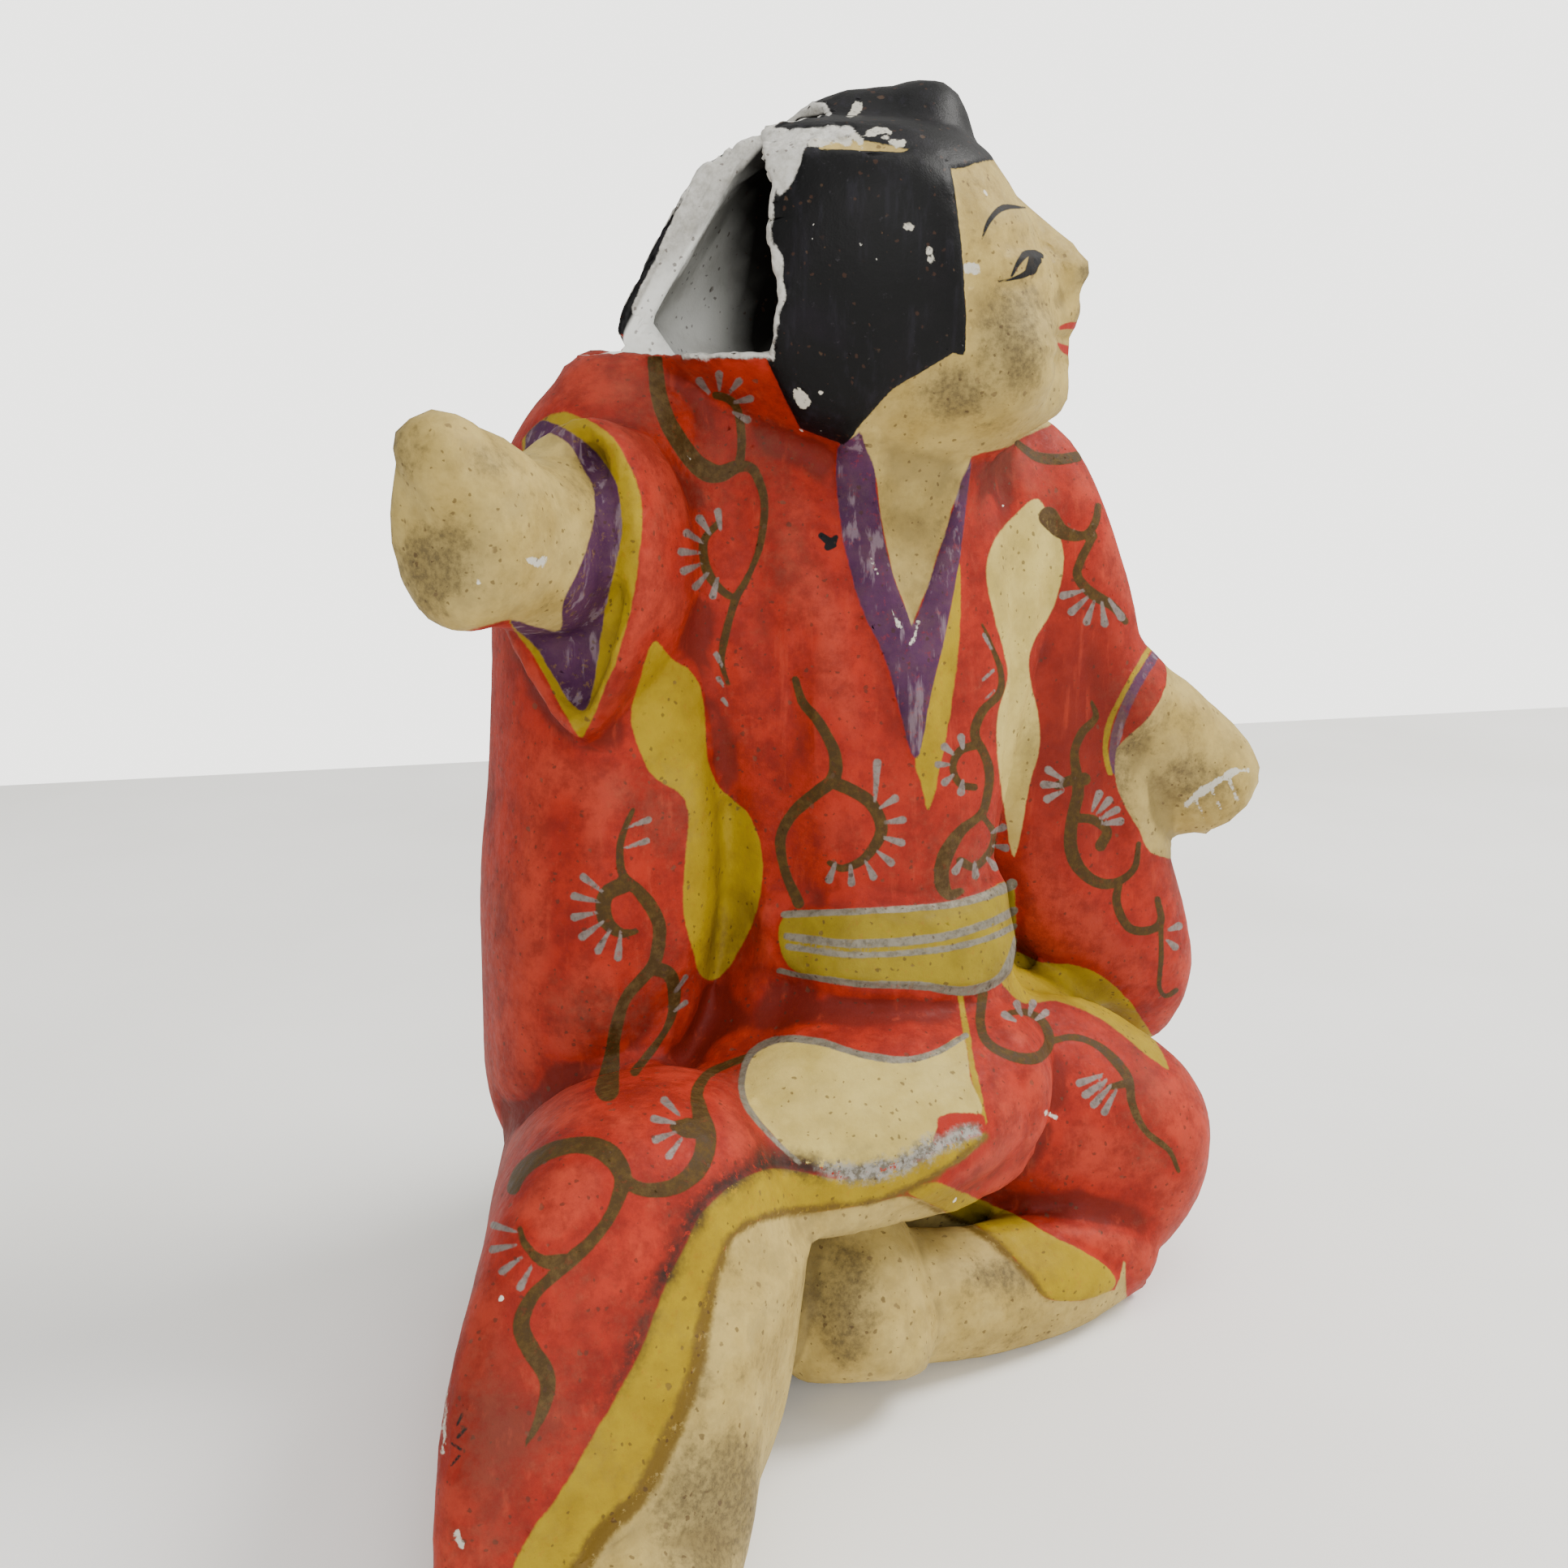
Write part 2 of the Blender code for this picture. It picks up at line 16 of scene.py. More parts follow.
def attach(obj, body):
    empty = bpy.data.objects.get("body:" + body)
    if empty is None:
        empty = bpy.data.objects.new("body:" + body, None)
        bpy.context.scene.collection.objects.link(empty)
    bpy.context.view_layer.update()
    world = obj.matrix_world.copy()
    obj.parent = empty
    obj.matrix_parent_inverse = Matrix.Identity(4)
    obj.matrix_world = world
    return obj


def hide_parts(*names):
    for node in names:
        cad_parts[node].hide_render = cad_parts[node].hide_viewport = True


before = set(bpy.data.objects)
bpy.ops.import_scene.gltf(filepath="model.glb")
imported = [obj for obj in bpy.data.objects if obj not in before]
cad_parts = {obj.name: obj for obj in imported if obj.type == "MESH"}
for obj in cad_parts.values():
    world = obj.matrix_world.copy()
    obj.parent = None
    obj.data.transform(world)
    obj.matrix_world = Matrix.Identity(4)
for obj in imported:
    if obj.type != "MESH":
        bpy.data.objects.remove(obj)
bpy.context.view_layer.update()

MM = 0.001
PICTURE = 1932.0                    # pixels across the picture
LENS = 1930.0                       # distance from the eye to the picture, in pixels
EYE = np.array((-116.5, -293.9, 189.0))
TURN = math.radians(20.0)           # the eye stands towards the doll's right hand
PITCH = math.radians(15.0)          # and looks down

HEAD_TURN = math.radians(70.0)      # the head looks this far to the doll's left
HEAD_AXIS = (-2.4, -6.6)            # where its middle stands

# The break, as in the carving: its outline seen from the head's side, its slanting far
# face, and in the picture the chipped crown and the strip of hair left beside it.

BREAK = [
    (-70, 190.5), (-40, 190.5), (-11, 190.5), (-9.5, 200), (-11.5, 209), (-10.5, 217), (-12, 224),
    (-11, 240), (-70, 240)]
BREAK_SIDE = -7.0
BREAK_LEAN = 0.32
BREAK_FOOT = 190.5
TORN_CROWN = ((-9, -9, 232), (8, 9, 8))
RAGGED = 0.55                       # how far the broken hair's edge wanders
CROWN_CHIP = [
    (908, 172), (935, 154), (966, 161), (1002, 161), (1042, 157), (1054, 165), (1036, 172),
    (1003, 176), (992, 188), (986, 208), (974, 230), (961, 242), (954, 226), (956, 205),
    (944, 196), (924, 190)]
HAIR_STRIP = [
    (748, 418), (750, 390), (776, 325), (820, 240), (850, 192), (846, 226), (824, 282),
    (802, 330), (786, 362), (778, 384), (800, 404), (812, 418)]

SCROLL_WEIGHT = 1.15                # fuller than the widths laid down below
FLOOR_REACH = 2.5                   # metres from the doll to the floor's sides
FLOOR_END = 0.46                    # metres from the doll back to the floor's far line
FLOOR_SLANT = 0.14
SEAM = 9.0                          # the painted front half ends at this depth
FAR = -30.0                         # reach of paint that is nowhere near
ROOM_LIGHT = 0.9                    # how strongly the pale room lights the doll
ROOM_SHOWN = 3.4                    # and how bright it looks behind it
MARGIN = 60                         # pixels round a mark in which its reach is worked out
SKIN_EDGES = (6.0, 4.4, 3.7)        # longest edges of the clay's skin, round by round
HOLLOW_EDGE = 7.0                   # and inside the hollow
PAINT_PASSES = ((2.0, 1.9), (1.1, 1.15), (0.5, 0.87))      # how near to paint, longest edge
FACE_FINER = 0.7                    # the face's edges, as a share of those
UNCUT = 9.0                         # longer than any edge
LIFTS = (("collar", 0.5, 0.7), ("sash", 0.6, 0.8), ("fold", 0.5, 0.8))   # height, softness
HAIR_LIFT = 0.45
HAIR_FOOT = 176.0                   # the hair's lowest point
CRUMBLE = 0.5                       # relief of the torn clay
UNEVEN = 0.10                       # and of all the rest
HOLLOW_MIDDLE = (-5.0, 2.0, 100.0)  # well inside the doll's chest
SHUT_IN = 0.62                      # share of looks that clay stops, inside the hollow

# Where coats of paint end on the clay, in millimetres: heights, except the toes.

LEGS_TOP, FOOT_TOP, TOES = 72.0, 16.0, -101.0
NECK_FOOT, NECK_FOOT_LEFT = 120.0, 165.0
CHIN, TOP_HAIR_FOOT, CROWN_FOOT, CROWN_TOP = 181.5, 215.0, 190.0, 223.5
COLLAR_FOOT, LAP_FOOT = 100.0, 55.0
FACE_FOOT, FACE_FRONT = 186.0, 10.0
EYE_GAP = 3.5                       # half the bare strip between the eyes

# Brushwork in picture pixels: the points a stroke runs through and its widths.

SCROLLS = [
    ([(807, 444), (812, 488), (825, 524), (848, 560), (866, 578), (886, 584), (909, 575),
      (927, 578), (938, 601), (942, 628), (936, 674), (920, 714), (907, 737), (895, 778),
      (889, 814), (897, 843)], (16, 19, 22, 12, 9, 7, 9, 5)),
    ([(911, 574), (914, 542), (909, 506), (898, 492), (882, 487)], (10, 9, 8)),
    ([(909, 737), (895, 732), (877, 714), (868, 692), (868, 665), (886, 644)], (6, 11, 7)),
    ([(979, 838), (988, 866), (1006, 886), (1020, 909), (1029, 932), (1027, 959), (1006, 977),
      (979, 1000), (963, 1027), (963, 1054), (970, 1081), (984, 1113)],
     (8, 11, 12, 15, 14, 12, 10, 12)),
    ([(1027, 964), (1052, 975), (1074, 991), (1086, 1018), (1079, 1040), (1061, 1061),
      (1038, 1070), (1022, 1063)], (14, 14, 13, 9, 6)),
    ([(1210, 769), (1222, 796), (1233, 828), (1231, 855), (1210, 877), (1201, 905), (1212, 927),
      (1219, 954), (1215, 986), (1208, 1004), (1183, 1025), (1165, 1054), (1160, 1081),
      (1169, 1102), (1184, 1098)], (3, 6, 9, 11, 10, 10, 9, 17, 16, 7)),
    ([(1203, 918), (1183, 925), (1174, 945), (1183, 966), (1201, 970)], (9, 8, 8)),
    ([(1210, 1004), (1224, 1027), (1219, 1050), (1201, 1068), (1183, 1061)], (6, 8, 9)),
    ([(1254, 546), (1276, 562), (1300, 566), (1326, 563)], (7, 12, 12)),
    ([(1292, 637), (1308, 655), (1335, 660), (1349, 645), (1353, 624)], (22, 10, 8)),
    ([(1347, 660), (1331, 692), (1328, 711), (1345, 731), (1371, 747), (1387, 766)],
     (9, 10, 12, 7)),
    ([(1345, 865), (1350, 884), (1333, 903), (1324, 927), (1327, 955), (1328, 978),
      (1322, 1006), (1319, 1040), (1330, 1070), (1354, 1088), (1378, 1086), (1398, 1069),
      (1403, 1040)], (4, 9, 9, 13, 13, 15, 12, 8, 6)),
    ([(1328, 1008), (1347, 1010), (1364, 1024), (1356, 1042)], (10, 10, 12)),
    ([(1336, 960), (1318, 962), (1303, 968)], (14, 9)),
    ([(1379, 1087), (1376, 1113), (1390, 1142), (1412, 1147), (1430, 1136), (1426, 1108)],
     (8, 10, 9, 7)),
    ([(1430, 1140), (1431, 1180), (1428, 1214), (1436, 1227), (1449, 1220)], (6, 5, 6)),
    ([(780, 998), (771, 1019), (764, 1044), (767, 1077), (786, 1097), (805, 1122), (813, 1147),
      (807, 1185), (792, 1205), (771, 1230), (759, 1267), (753, 1309), (748, 1342)],
     (5, 8, 9, 15, 15, 13, 12, 14, 26)),
    ([(772, 1089), (747, 1102), (745, 1131), (763, 1149), (784, 1148)], (17, 17, 6)),
    ([(805, 1192), (825, 1201), (831, 1226), (825, 1259), (806, 1290), (782, 1320)],
     (16, 15, 7, 10)),
    ([(632, 1464), (644, 1441), (671, 1422), (701, 1412), (732, 1413), (755, 1426), (767, 1449),
      (763, 1472), (749, 1503), (728, 1530), (705, 1551), (682, 1572), (655, 1599),
      (642, 1633), (655, 1664), (672, 1691), (674, 1718), (663, 1752), (647, 1781)],
     (14, 17, 18, 24, 17, 12, 16, 12, 19, 21, 14, 3)),
    ([(770, 1455), (793, 1466), (824, 1464), (851, 1449), (866, 1426), (870, 1399), (862, 1368),
      (859, 1345), (872, 1324), (897, 1311), (922, 1302)], (14, 16, 22, 22, 14, 9, 7)),
    ([(694, 1556), (667, 1553), (647, 1533), (641, 1514)], (20, 9, 6)),
    ([(868, 1390), (848, 1390), (832, 1388)], (20, 22, 12)),
    ([(1211, 1225), (1208, 1262), (1219, 1287), (1252, 1303), (1280, 1302), (1293, 1282),
      (1284, 1258), (1264, 1247), (1244, 1248)], (11, 10, 13, 9, 6)),
    ([(1291, 1284), (1321, 1278), (1350, 1287), (1374, 1307), (1391, 1331), (1395, 1360),
      (1411, 1393), (1440, 1417), (1452, 1443)], (8, 7, 11, 9, 7, 4)),
    ([(1391, 1334), (1366, 1340)], (10, 6)),
]

# Fans of pale petals: middle, inner and outer reach, first and last angle (0 points
# right and 90 down), how many.

FANS = [
    ((886, 500), 19, 39, -128, 26, 5), ((892, 683), 30, 53, 105, 262, 7),
    ((1045, 1020), 46, 68, -32, 110, 7), ((1198, 1037), 26, 42, -25, 120, 5),
    ((1190, 942), 20, 34, 100, 260, 5), ((1355, 722), 20, 47, 55, 165, 5),
    ((1322, 968), 13, 36, 152, 212, 3), ((1338, 1018), 20, 43, -68, -8, 4),
    ((768, 1118), 30, 62, 96, 217, 6), ((672, 1528), 36, 66, 118, 196, 4),
    ((850, 1388), 19, 45, 125, 226, 4), ((1264, 1265), 15, 30, -150, -35, 4),
    ((1392, 1312), 34, 66, 118, 160, 4), ((1428, 1150), 12, 26, -20, 40, 2),
]
PETALS = [((1078, 988), (1081, 940), 11), ((771, 1020), (799, 1010), 8),
          ((770, 1045), (797, 1036), 8), ((832, 1222), (845, 1204), 7),
          ((831, 1246), (845, 1235), 6), ((890, 822), (882, 806), 7),
          ((892, 846), (885, 836), 7), ((897, 870), (891, 862), 6),
          ((1222, 800), (1212, 782), 5), ((1224, 826), (1211, 838), 5),
          ((1226, 850), (1214, 862), 4)]

YELLOW_GOURD = [
    (805, 790), (828, 812), (852, 828), (866, 862), (872, 930), (884, 968), (925, 1008),
    (940, 1068), (928, 1135), (898, 1192), (878, 1207), (862, 1200), (852, 1165), (841, 1110),
    (848, 1022), (846, 992), (834, 975), (800, 950), (778, 888), (790, 832)]
CHEST_GOURD = [
    (1274, 615), (1290, 632), (1306, 662), (1310, 700), (1298, 748), (1272, 795), (1268, 830),
    (1280, 885), (1280, 925), (1268, 970), (1250, 1056), (1238, 1000), (1229, 930), (1230, 880),
    (1241, 838), (1236, 800), (1218, 730), (1217, 690), (1232, 655)]
LAP_GOURD = [
    (916, 1335), (928, 1300), (960, 1283), (1010, 1284), (1060, 1299), (1110, 1306), (1150, 1298),
    (1186, 1277), (1196, 1330), (1210, 1372), (1168, 1372), (1152, 1396), (1142, 1418),
    (1090, 1436), (1030, 1440), (985, 1430), (950, 1395), (922, 1362)]
LAP_GOURD_EDGE = [
    (1190, 1276), (1150, 1298), (1110, 1306), (1060, 1299), (1010, 1284), (960, 1281),
    (926, 1298), (914, 1332), (920, 1362), (948, 1398), (985, 1433)]
LAP_BRUSHED = [(1016, 1440), (1060, 1444), (1106, 1434), (1150, 1414), (1196, 1392)]
LAP_TONGUE = [(1156, 1376), (1208, 1372), (1212, 1392), (1196, 1402), (1166, 1404)]
SASH = [
    (966, 1128), (1050, 1122), (1150, 1115), (1205, 1103), (1246, 1086), (1252, 1140),
    (1248, 1180), (1236, 1204), (1180, 1216), (1110, 1213), (1040, 1208), (972, 1190)]
SASH_LINES = [
    ([(966, 1127), (1050, 1124), (1150, 1118), (1205, 1107), (1247, 1089)], (9, 9, 10, 13)),
    ([(970, 1154), (1050, 1163), (1150, 1156), (1210, 1140), (1249, 1121)], (9, 11, 10, 11)),
    ([(972, 1167), (1050, 1177), (1150, 1171), (1212, 1157), (1250, 1140)], (7, 8, 8)),
    ([(960, 1196), (990, 1202), (1060, 1212), (1130, 1214), (1190, 1221), (1228, 1207),
      (1244, 1180), (1249, 1158)], (7, 8, 10, 12, 14, 9)),
]
THIGH_STRIP = [
    (1232, 1206), (1246, 1172), (1282, 1186), (1328, 1190), (1365, 1208), (1400, 1245),
    (1440, 1318), (1380, 1272), (1345, 1250), (1300, 1233), (1262, 1236)]
PANEL_LINE = [(1182, 1220), (1189, 1262), (1199, 1320), (1213, 1382)]
LINING = [
    (1212, 1396), (1168, 1410), (1128, 1430), (1050, 1452), (1000, 1446), (950, 1440),
    (908, 1456), (866, 1492), (838, 1545), (812, 1600), (790, 1662), (757, 1722), (722, 1785),
    (685, 1846), (652, 1890), (625, 1945), (585, 2030), (690, 2030), (715, 1945), (735, 1890),
    (790, 1836), (822, 1772), (852, 1690), (868, 1620), (884, 1560), (905, 1520), (955, 1496),
    (1010, 1492), (1080, 1480), (1140, 1452), (1190, 1424)]
LINING_SHADOW = [
    (1214, 1400), (1150, 1448), (1080, 1478), (1010, 1488), (955, 1496), (905, 1518), (884, 1560),
    (868, 1620), (856, 1690), (824, 1772), (792, 1838), (738, 1892), (700, 1960)]
# Painted shade along the lining's top, under the lap's hem.
LINING_TOP_SHADE = [
    (1010, 1440), (950, 1432), (905, 1450), (862, 1488), (832, 1545), (800, 1612), (776, 1672),
    (745, 1732)]
LEFT_HEM = [
    (1118, 1468), (1150, 1456), (1180, 1466), (1236, 1490), (1290, 1520), (1345, 1548),
    (1372, 1572), (1366, 1590), (1330, 1602), (1286, 1598), (1262, 1566), (1215, 1520),
    (1160, 1490)]
LEFT_HEM_SHADE = [(1110, 1470), (1160, 1494), (1215, 1524), (1260, 1566), (1290, 1600)]

RIGHT_COLLAR = [
    (1037, 542), (1080, 528), (1078, 580), (1084, 640), (1100, 710), (1121, 762), (1134, 790),
    (1140, 850), (1128, 935), (1106, 866), (1090, 810), (1060, 745), (1040, 670), (1031, 600)]
LEFT_COLLAR = [
    (1196, 558), (1190, 620), (1181, 690), (1165, 775), (1147, 850), (1128, 935), (1105, 812),
    (1121, 782), (1140, 730), (1166, 650), (1184, 588)]
COLLAR_SLIP = [
    (1181, 694), (1183, 760), (1176, 840), (1163, 922), (1145, 999), (1134, 962), (1128, 935),
    (1147, 850), (1165, 775)]

# Chips and scuffs anywhere but on the crown: points and widths.

SCUFFS = [([(1117, 800), (1124, 786), (1131, 768)], (2, 4, 2)),
          ([(1074, 690), (1080, 708)], (2, 2)), ([(1098, 752), (1106, 772)], (2, 3)),
          ([(1119, 858), (1122, 872)], (2, 2)),
          ([(1462, 990), (1486, 972), (1515, 953), (1536, 948)], (6, 9, 8, 5)),
          ([(1474, 986), (1484, 1008)], (4, 3)), ([(1494, 974), (1504, 998)], (4, 3)),
          ([(1514, 962), (1523, 984)], (4, 3)), ([(563, 1888), (568, 1902)], (9, 6)),
          ([(652, 690), (664, 694), (672, 686)], (5, 8, 4)),
          ([(556, 1650), (550, 1720), (545, 1790)], (2, 3, 2)),
          ([(1290, 1372), (1300, 1376)], (4, 4)), ([(846, 562), (850, 566)], (4, 4))]

# The bare neck, and on the head the robe's end beside the break and the topknot.

NECK = [
    (1046, 538), (1060, 512), (1100, 480), (1200, 440), (1330, 300), (1400, 420), (1330, 530),
    (1262, 546), (1196, 562), (1184, 590), (1166, 650), (1140, 730), (1122, 772), (1100, 710),
    (1086, 645), (1078, 580), (1060, 530)]

# The head in its own frame, seen from its right side: how far forward, how high.

SIDE_HAIR = [
    (19, 222), (20.2, 214), (21.5, 205), (22.2, 197), (22.4, 190.5), (20.2, 191), (9.5, 184.6),
    (1.6, 175.2), (-6, 178), (-12, 190), (-60, 190), (-60, 240), (-8, 240), (-6, 223.6),
    (11, 223.2), (14, 225), (16, 226)]
ROBE_END = [(680, 400), (762, 412), (800, 415), (818, 424), (838, 450), (680, 460)]
TOP_HAIR = [
    (950, 60), (1260, 60), (1240, 196), (1211, 200), (1189, 206), (1170, 210), (1160, 196),
    (1128, 186), (1100, 181), (1071, 176), (1036, 171), (1004, 168), (980, 166)]
PATE_CHIPS = [([(1052, 168), (1062, 178), (1058, 190)], (5, 7, 3)),
              ([(1070, 168), (1086, 162), (1096, 166)], (4, 5, 3)),
              ([(1000, 178), (1030, 172), (1044, 176)], (14, 10, 6)),
              ([(1090, 172), (1104, 180), (1112, 176)], (4, 6, 3)),
              ([(1048, 146), (1058, 134)], (5, 8)),
              ([(984, 482), (992, 494)], (9, 15)), ([(1116, 280), (1122, 281)], (7, 8)),
              ([(1144, 306), (1146, 320)], (6, 9)), ([(1194, 330), (1201, 331)], (14, 14))]
BROW = ([(1210, 294), (1219, 272), (1236, 256), (1265, 256)], (2, 6, 8, 1.5))
EYE_LINES = [([(1231, 347), (1250, 343), (1266, 336), (1280, 322)], (2, 4, 9, 8)),
             ([(1246, 341), (1256, 322), (1268, 311), (1282, 312), (1285, 318)],
              (3, 7, 9, 8, 2)),
             ([(1277, 313), (1271, 332)], (15, 15))]
LIPS = [([(1306, 404), (1318, 401), (1330, 402)], (5, 9, 9)),
        ([(1304, 424), (1312, 430), (1322, 434)], (4, 10, 12))]
PEN_MARKS = [([(570, 1742), (563, 1756)], (4, 3)), ([(574, 1760), (564, 1771)], (4, 4)),
             ([(556, 1778), (568, 1786)], (3, 4)), ([(566, 1794), (556, 1806)], (4, 3))]
BLACK_SPOT = [([(1012, 660), (1024, 668), (1030, 662)], (8, 11, 6)),
              ([(1020, 674), (1028, 672)], (9, 6))]

# Where each sleeve's mouth lies and which way it faces, in millimetres.

RIGHT_MOUTH = ((-58.5, -30.5, 153.7), (-0.76, -0.64, 0.10))
LEFT_MOUTH = ((68.0, -5.0, 115.0), (0.75, -0.10, -0.65))

# The sleeves' edges, the hands and the legs, in picture pixels.

RIGHT_MOUTH_RIM = [
    (648, 519), (676, 508), (706, 510), (748, 532), (772, 566), (789, 610), (791, 650),
    (780, 735), (764, 800), (740, 862), (722, 902), (712, 906), (692, 872), (660, 812),
    (628, 766), (640, 740), (640, 640)]
RIGHT_MOUTH_LINING = [
    (650, 528), (668, 517), (706, 534), (742, 566), (760, 600), (766, 640), (764, 672),
    (744, 760), (728, 860), (712, 874), (690, 846), (662, 800), (630, 768), (640, 740), (640, 640)]
RIGHT_ARM_OUTLINE = [
    (640, 540), (664, 530), (700, 546), (718, 578), (731, 600), (731, 640), (718, 690),
    (694, 742), (690, 776), (660, 772), (628, 764), (580, 775), (460, 790), (440, 500), (580, 500)]
LEFT_ARM_OUTLINE = [
    (1427, 780), (1470, 830), (1560, 880), (1600, 960), (1540, 1050), (1431, 1056), (1403, 1022),
    (1382, 984), (1374, 955), (1377, 915), (1398, 856), (1416, 826)]
LEFT_RIM = ([(1431, 772), (1412, 806), (1390, 845), (1369, 886), (1362, 922), (1368, 952)],
            (7, 7, 7))
LEFT_RIM_LINING = ([(1432, 792), (1420, 812), (1396, 852), (1380, 890), (1372, 926),
                    (1375, 950)], (8, 12, 13, 12, 9))
LEG_SKIN = [
    (690, 2300), (690, 2030), (715, 1945), (735, 1890), (790, 1836), (822, 1772), (852, 1690),
    (868, 1620), (884, 1560), (905, 1520), (955, 1496), (1010, 1492), (1080, 1480), (1124, 1474),
    (1160, 1490), (1215, 1520), (1262, 1566), (1286, 1598), (1330, 1602), (1374, 1590),
    (1388, 1606), (1388, 2300)]

# Where hands and dust have greyed the paint, and painted shade on the far sleeve, the legs and
# round the feet: middle, reach across and down, strength.

GRIME_AND_SHADE = [((545, 700), 80, 70, 0.85), ((505, 560), 40, 60, 0.6), ((600, 570), 40, 30, 0.6),
         ((1250, 420), 55, 75, 0.9), ((1180, 480), 60, 40, 0.8), ((1336, 340), 16, 18, 1.0),
         ((1450, 960), 80, 50, 0.7), ((1040, 1600), 60, 90, 0.8), ((1230, 1570), 90, 30, 0.6),
         ((885, 1150), 45, 60, 0.7), ((880, 1860), 90, 110, 1.0), ((960, 1425), 60, 26, 0.8),
         ((860, 1700), 40, 60, 0.5),
         ((1180, 1240), 60, 30, 0.4), ((1250, 700), 40, 80, 0.5), ((1140, 870), 30, 50, 0.5),
         ((1050, 1420), 90, 20, 0.7), ((610, 1760), 70, 170, 1.0), ((1330, 900), 100, 180, 1.0),
         ((620, 1150), 30, 120, 0.6), ((1400, 1350), 60, 120, 0.4), ((700, 1250), 60, 80, 0.4),
         ((740, 860), 30, 60, 0.4), ((700, 1640), 60, 120, 0.5), ((650, 1450), 80, 80, 0.4)]

# Finer grooves that the carving leaves out: line, width in pixels, depth in millimetres.

GROOVES = [
    ([(1130, 1572), (1129, 1610), (1124, 1650), (1112, 1690)], (8, 13, 13, 8), 1.1),
    ([(566, 532), (577, 560), (583, 600), (578, 636)], (9, 12, 6), 0.9),
    ([(520, 552), (530, 580), (528, 610)], (6, 8, 3), 0.4),
    ([(490, 575), (496, 630), (494, 690), (508, 730)], (5, 8, 8, 4), 0.35),
    ([(1474, 990), (1484, 1012)], (6, 4), 0.5), ([(1494, 980), (1505, 1004)], (6, 4), 0.5),
    ([(1514, 966), (1524, 990)], (6, 4), 0.5), ([(1530, 958), (1538, 972)], (5, 4), 0.4),
    ([(1240, 300), (1262, 296), (1284, 304)], (20, 30, 14), 0.7),
    ([(1236, 352), (1262, 352), (1290, 338)], (12, 18, 10), 0.35),
    ([(1304, 372), (1316, 360)], (8, 6), 0.6),
    ([(1302, 414), (1316, 416), (1326, 415)], (5, 6, 6), 0.6),
    ([(1300, 444), (1314, 446)], (14, 10), 0.5),
    ([(1290, 368), (1280, 396), (1284, 420)], (9, 12, 6), 0.45),
    ([(1070, 1090), (1150, 1096), (1226, 1080)], (8, 10, 6), 0.35),
    ([(998, 780), (984, 850), (990, 930)], (22, 34, 16), 0.5),
    ([(1100, 1590), (1082, 1616), (1084, 1650)], (8, 14, 8), 0.5),
]

# Soft swellings of the hands and face: outline in pixels, height, softness in millimetres.

LUMPS = [([(494, 524), (530, 512), (566, 524), (578, 560), (572, 612), (550, 640), (522, 620),
           (504, 570)], 1.5, 1.6),
         ([(1322, 318), (1340, 322), (1346, 346), (1330, 364), (1312, 356)], 0.7, 1.0),
         ([(1230, 380), (1270, 372), (1296, 400), (1280, 450), (1236, 450)], 0.5, 3.0),
         ([(1424, 1010), (1480, 985), (1538, 950), (1540, 985), (1500, 1030), (1440, 1050)],
          0.6, 1.5)]

SWELLS = [((40.5, -21.0, 199.8), 4.2, 1.5), ((-86.0, -46.5, 176.5), 5.0, 1.8),
          ((-80.0, -41.0, 179.5), 3.5, 0.8)]


def flow(points, steps=5):
    """A smooth line through the named points."""
    row = np.array(points, float)
    row = np.vstack((2 * row[0] - row[1], row, 2 * row[-1] - row[-2]))
    share = (np.arange(steps) / steps)[:, None]
    parts = []
    for a, b, c, d in zip(row, row[1:], row[2:], row[3:]):
        parts.append(b + 0.5 * share * (c - a)
                     + 0.5 * share ** 2 * (2 * a - 5 * b + 4 * c - d)
                     + 0.5 * share ** 3 * (3 * b - a - 3 * c + d))
    return np.vstack((*parts, row[-2]))


def rounded(outline, steps=4):
    """The same smooth line, closed round an outline."""
    row = list(outline)
    line = flow(row[-2:] + row + row[:2], steps)
    return line[2 * steps:(len(row) + 2) * steps]


def side_gap(spots, start, end):
    """How far each spot is from a straight stretch, and how far along it."""
    span = end - start
    along = np.clip((spots - start) @ span / max(span @ span, 1e-9), 0.0, 1.0)
    away = spots - start - along[:, None] * span
    return np.hypot(away[:, 0], away[:, 1]), along


def in_stroke(spots, points, widths):
    """How deep each spot lies in a brush stroke; below nothing outside it."""
    line = flow(points) if len(points) > 2 else np.array(points, float)
    half = np.interp(np.linspace(0, 1, len(line)), np.linspace(0, 1, len(widths)), widths) / 2
    deep = np.full(len(spots), FAR * 10)
    close = np.all((spots > line.min(0) - MARGIN) & (spots < line.max(0) + MARGIN), axis=1)
    near = spots[close]
    best = deep[close]
    for start, end, first, last in zip(line, line[1:], half, half[1:]):
        gap, along = side_gap(near, start, end)
        best = np.maximum(best, first + (last - first) * along - gap)
    deep[close] = best
    return deep


def in_area(spots, outline):
    """How deep each spot lies inside a closed outline; below nothing outside it."""
    corners = np.array(outline, float)
    deep = np.full(len(spots), -float(MARGIN))
    close = np.all((spots > corners.min(0) - MARGIN) & (spots < corners.max(0) + MARGIN), axis=1)
    near = spots[close]
    gap = np.full(len(near), 1e6)
    inside = np.zeros(len(near), bool)
    for start, end in zip(corners, np.roll(corners, -1, axis=0)):
        gap = np.minimum(gap, side_gap(near, start, end)[0])
        rise = end[1] - start[1]
        if rise == 0:
            continue
        crossed = (start[1] > near[:, 1]) != (end[1] > near[:, 1])
        at = start[0] + (near[:, 1] - start[1]) * (end[0] - start[0]) / rise
        inside ^= crossed & (near[:, 0] < at)
    deep[close] = np.where(inside, gap, -gap)
    return deep


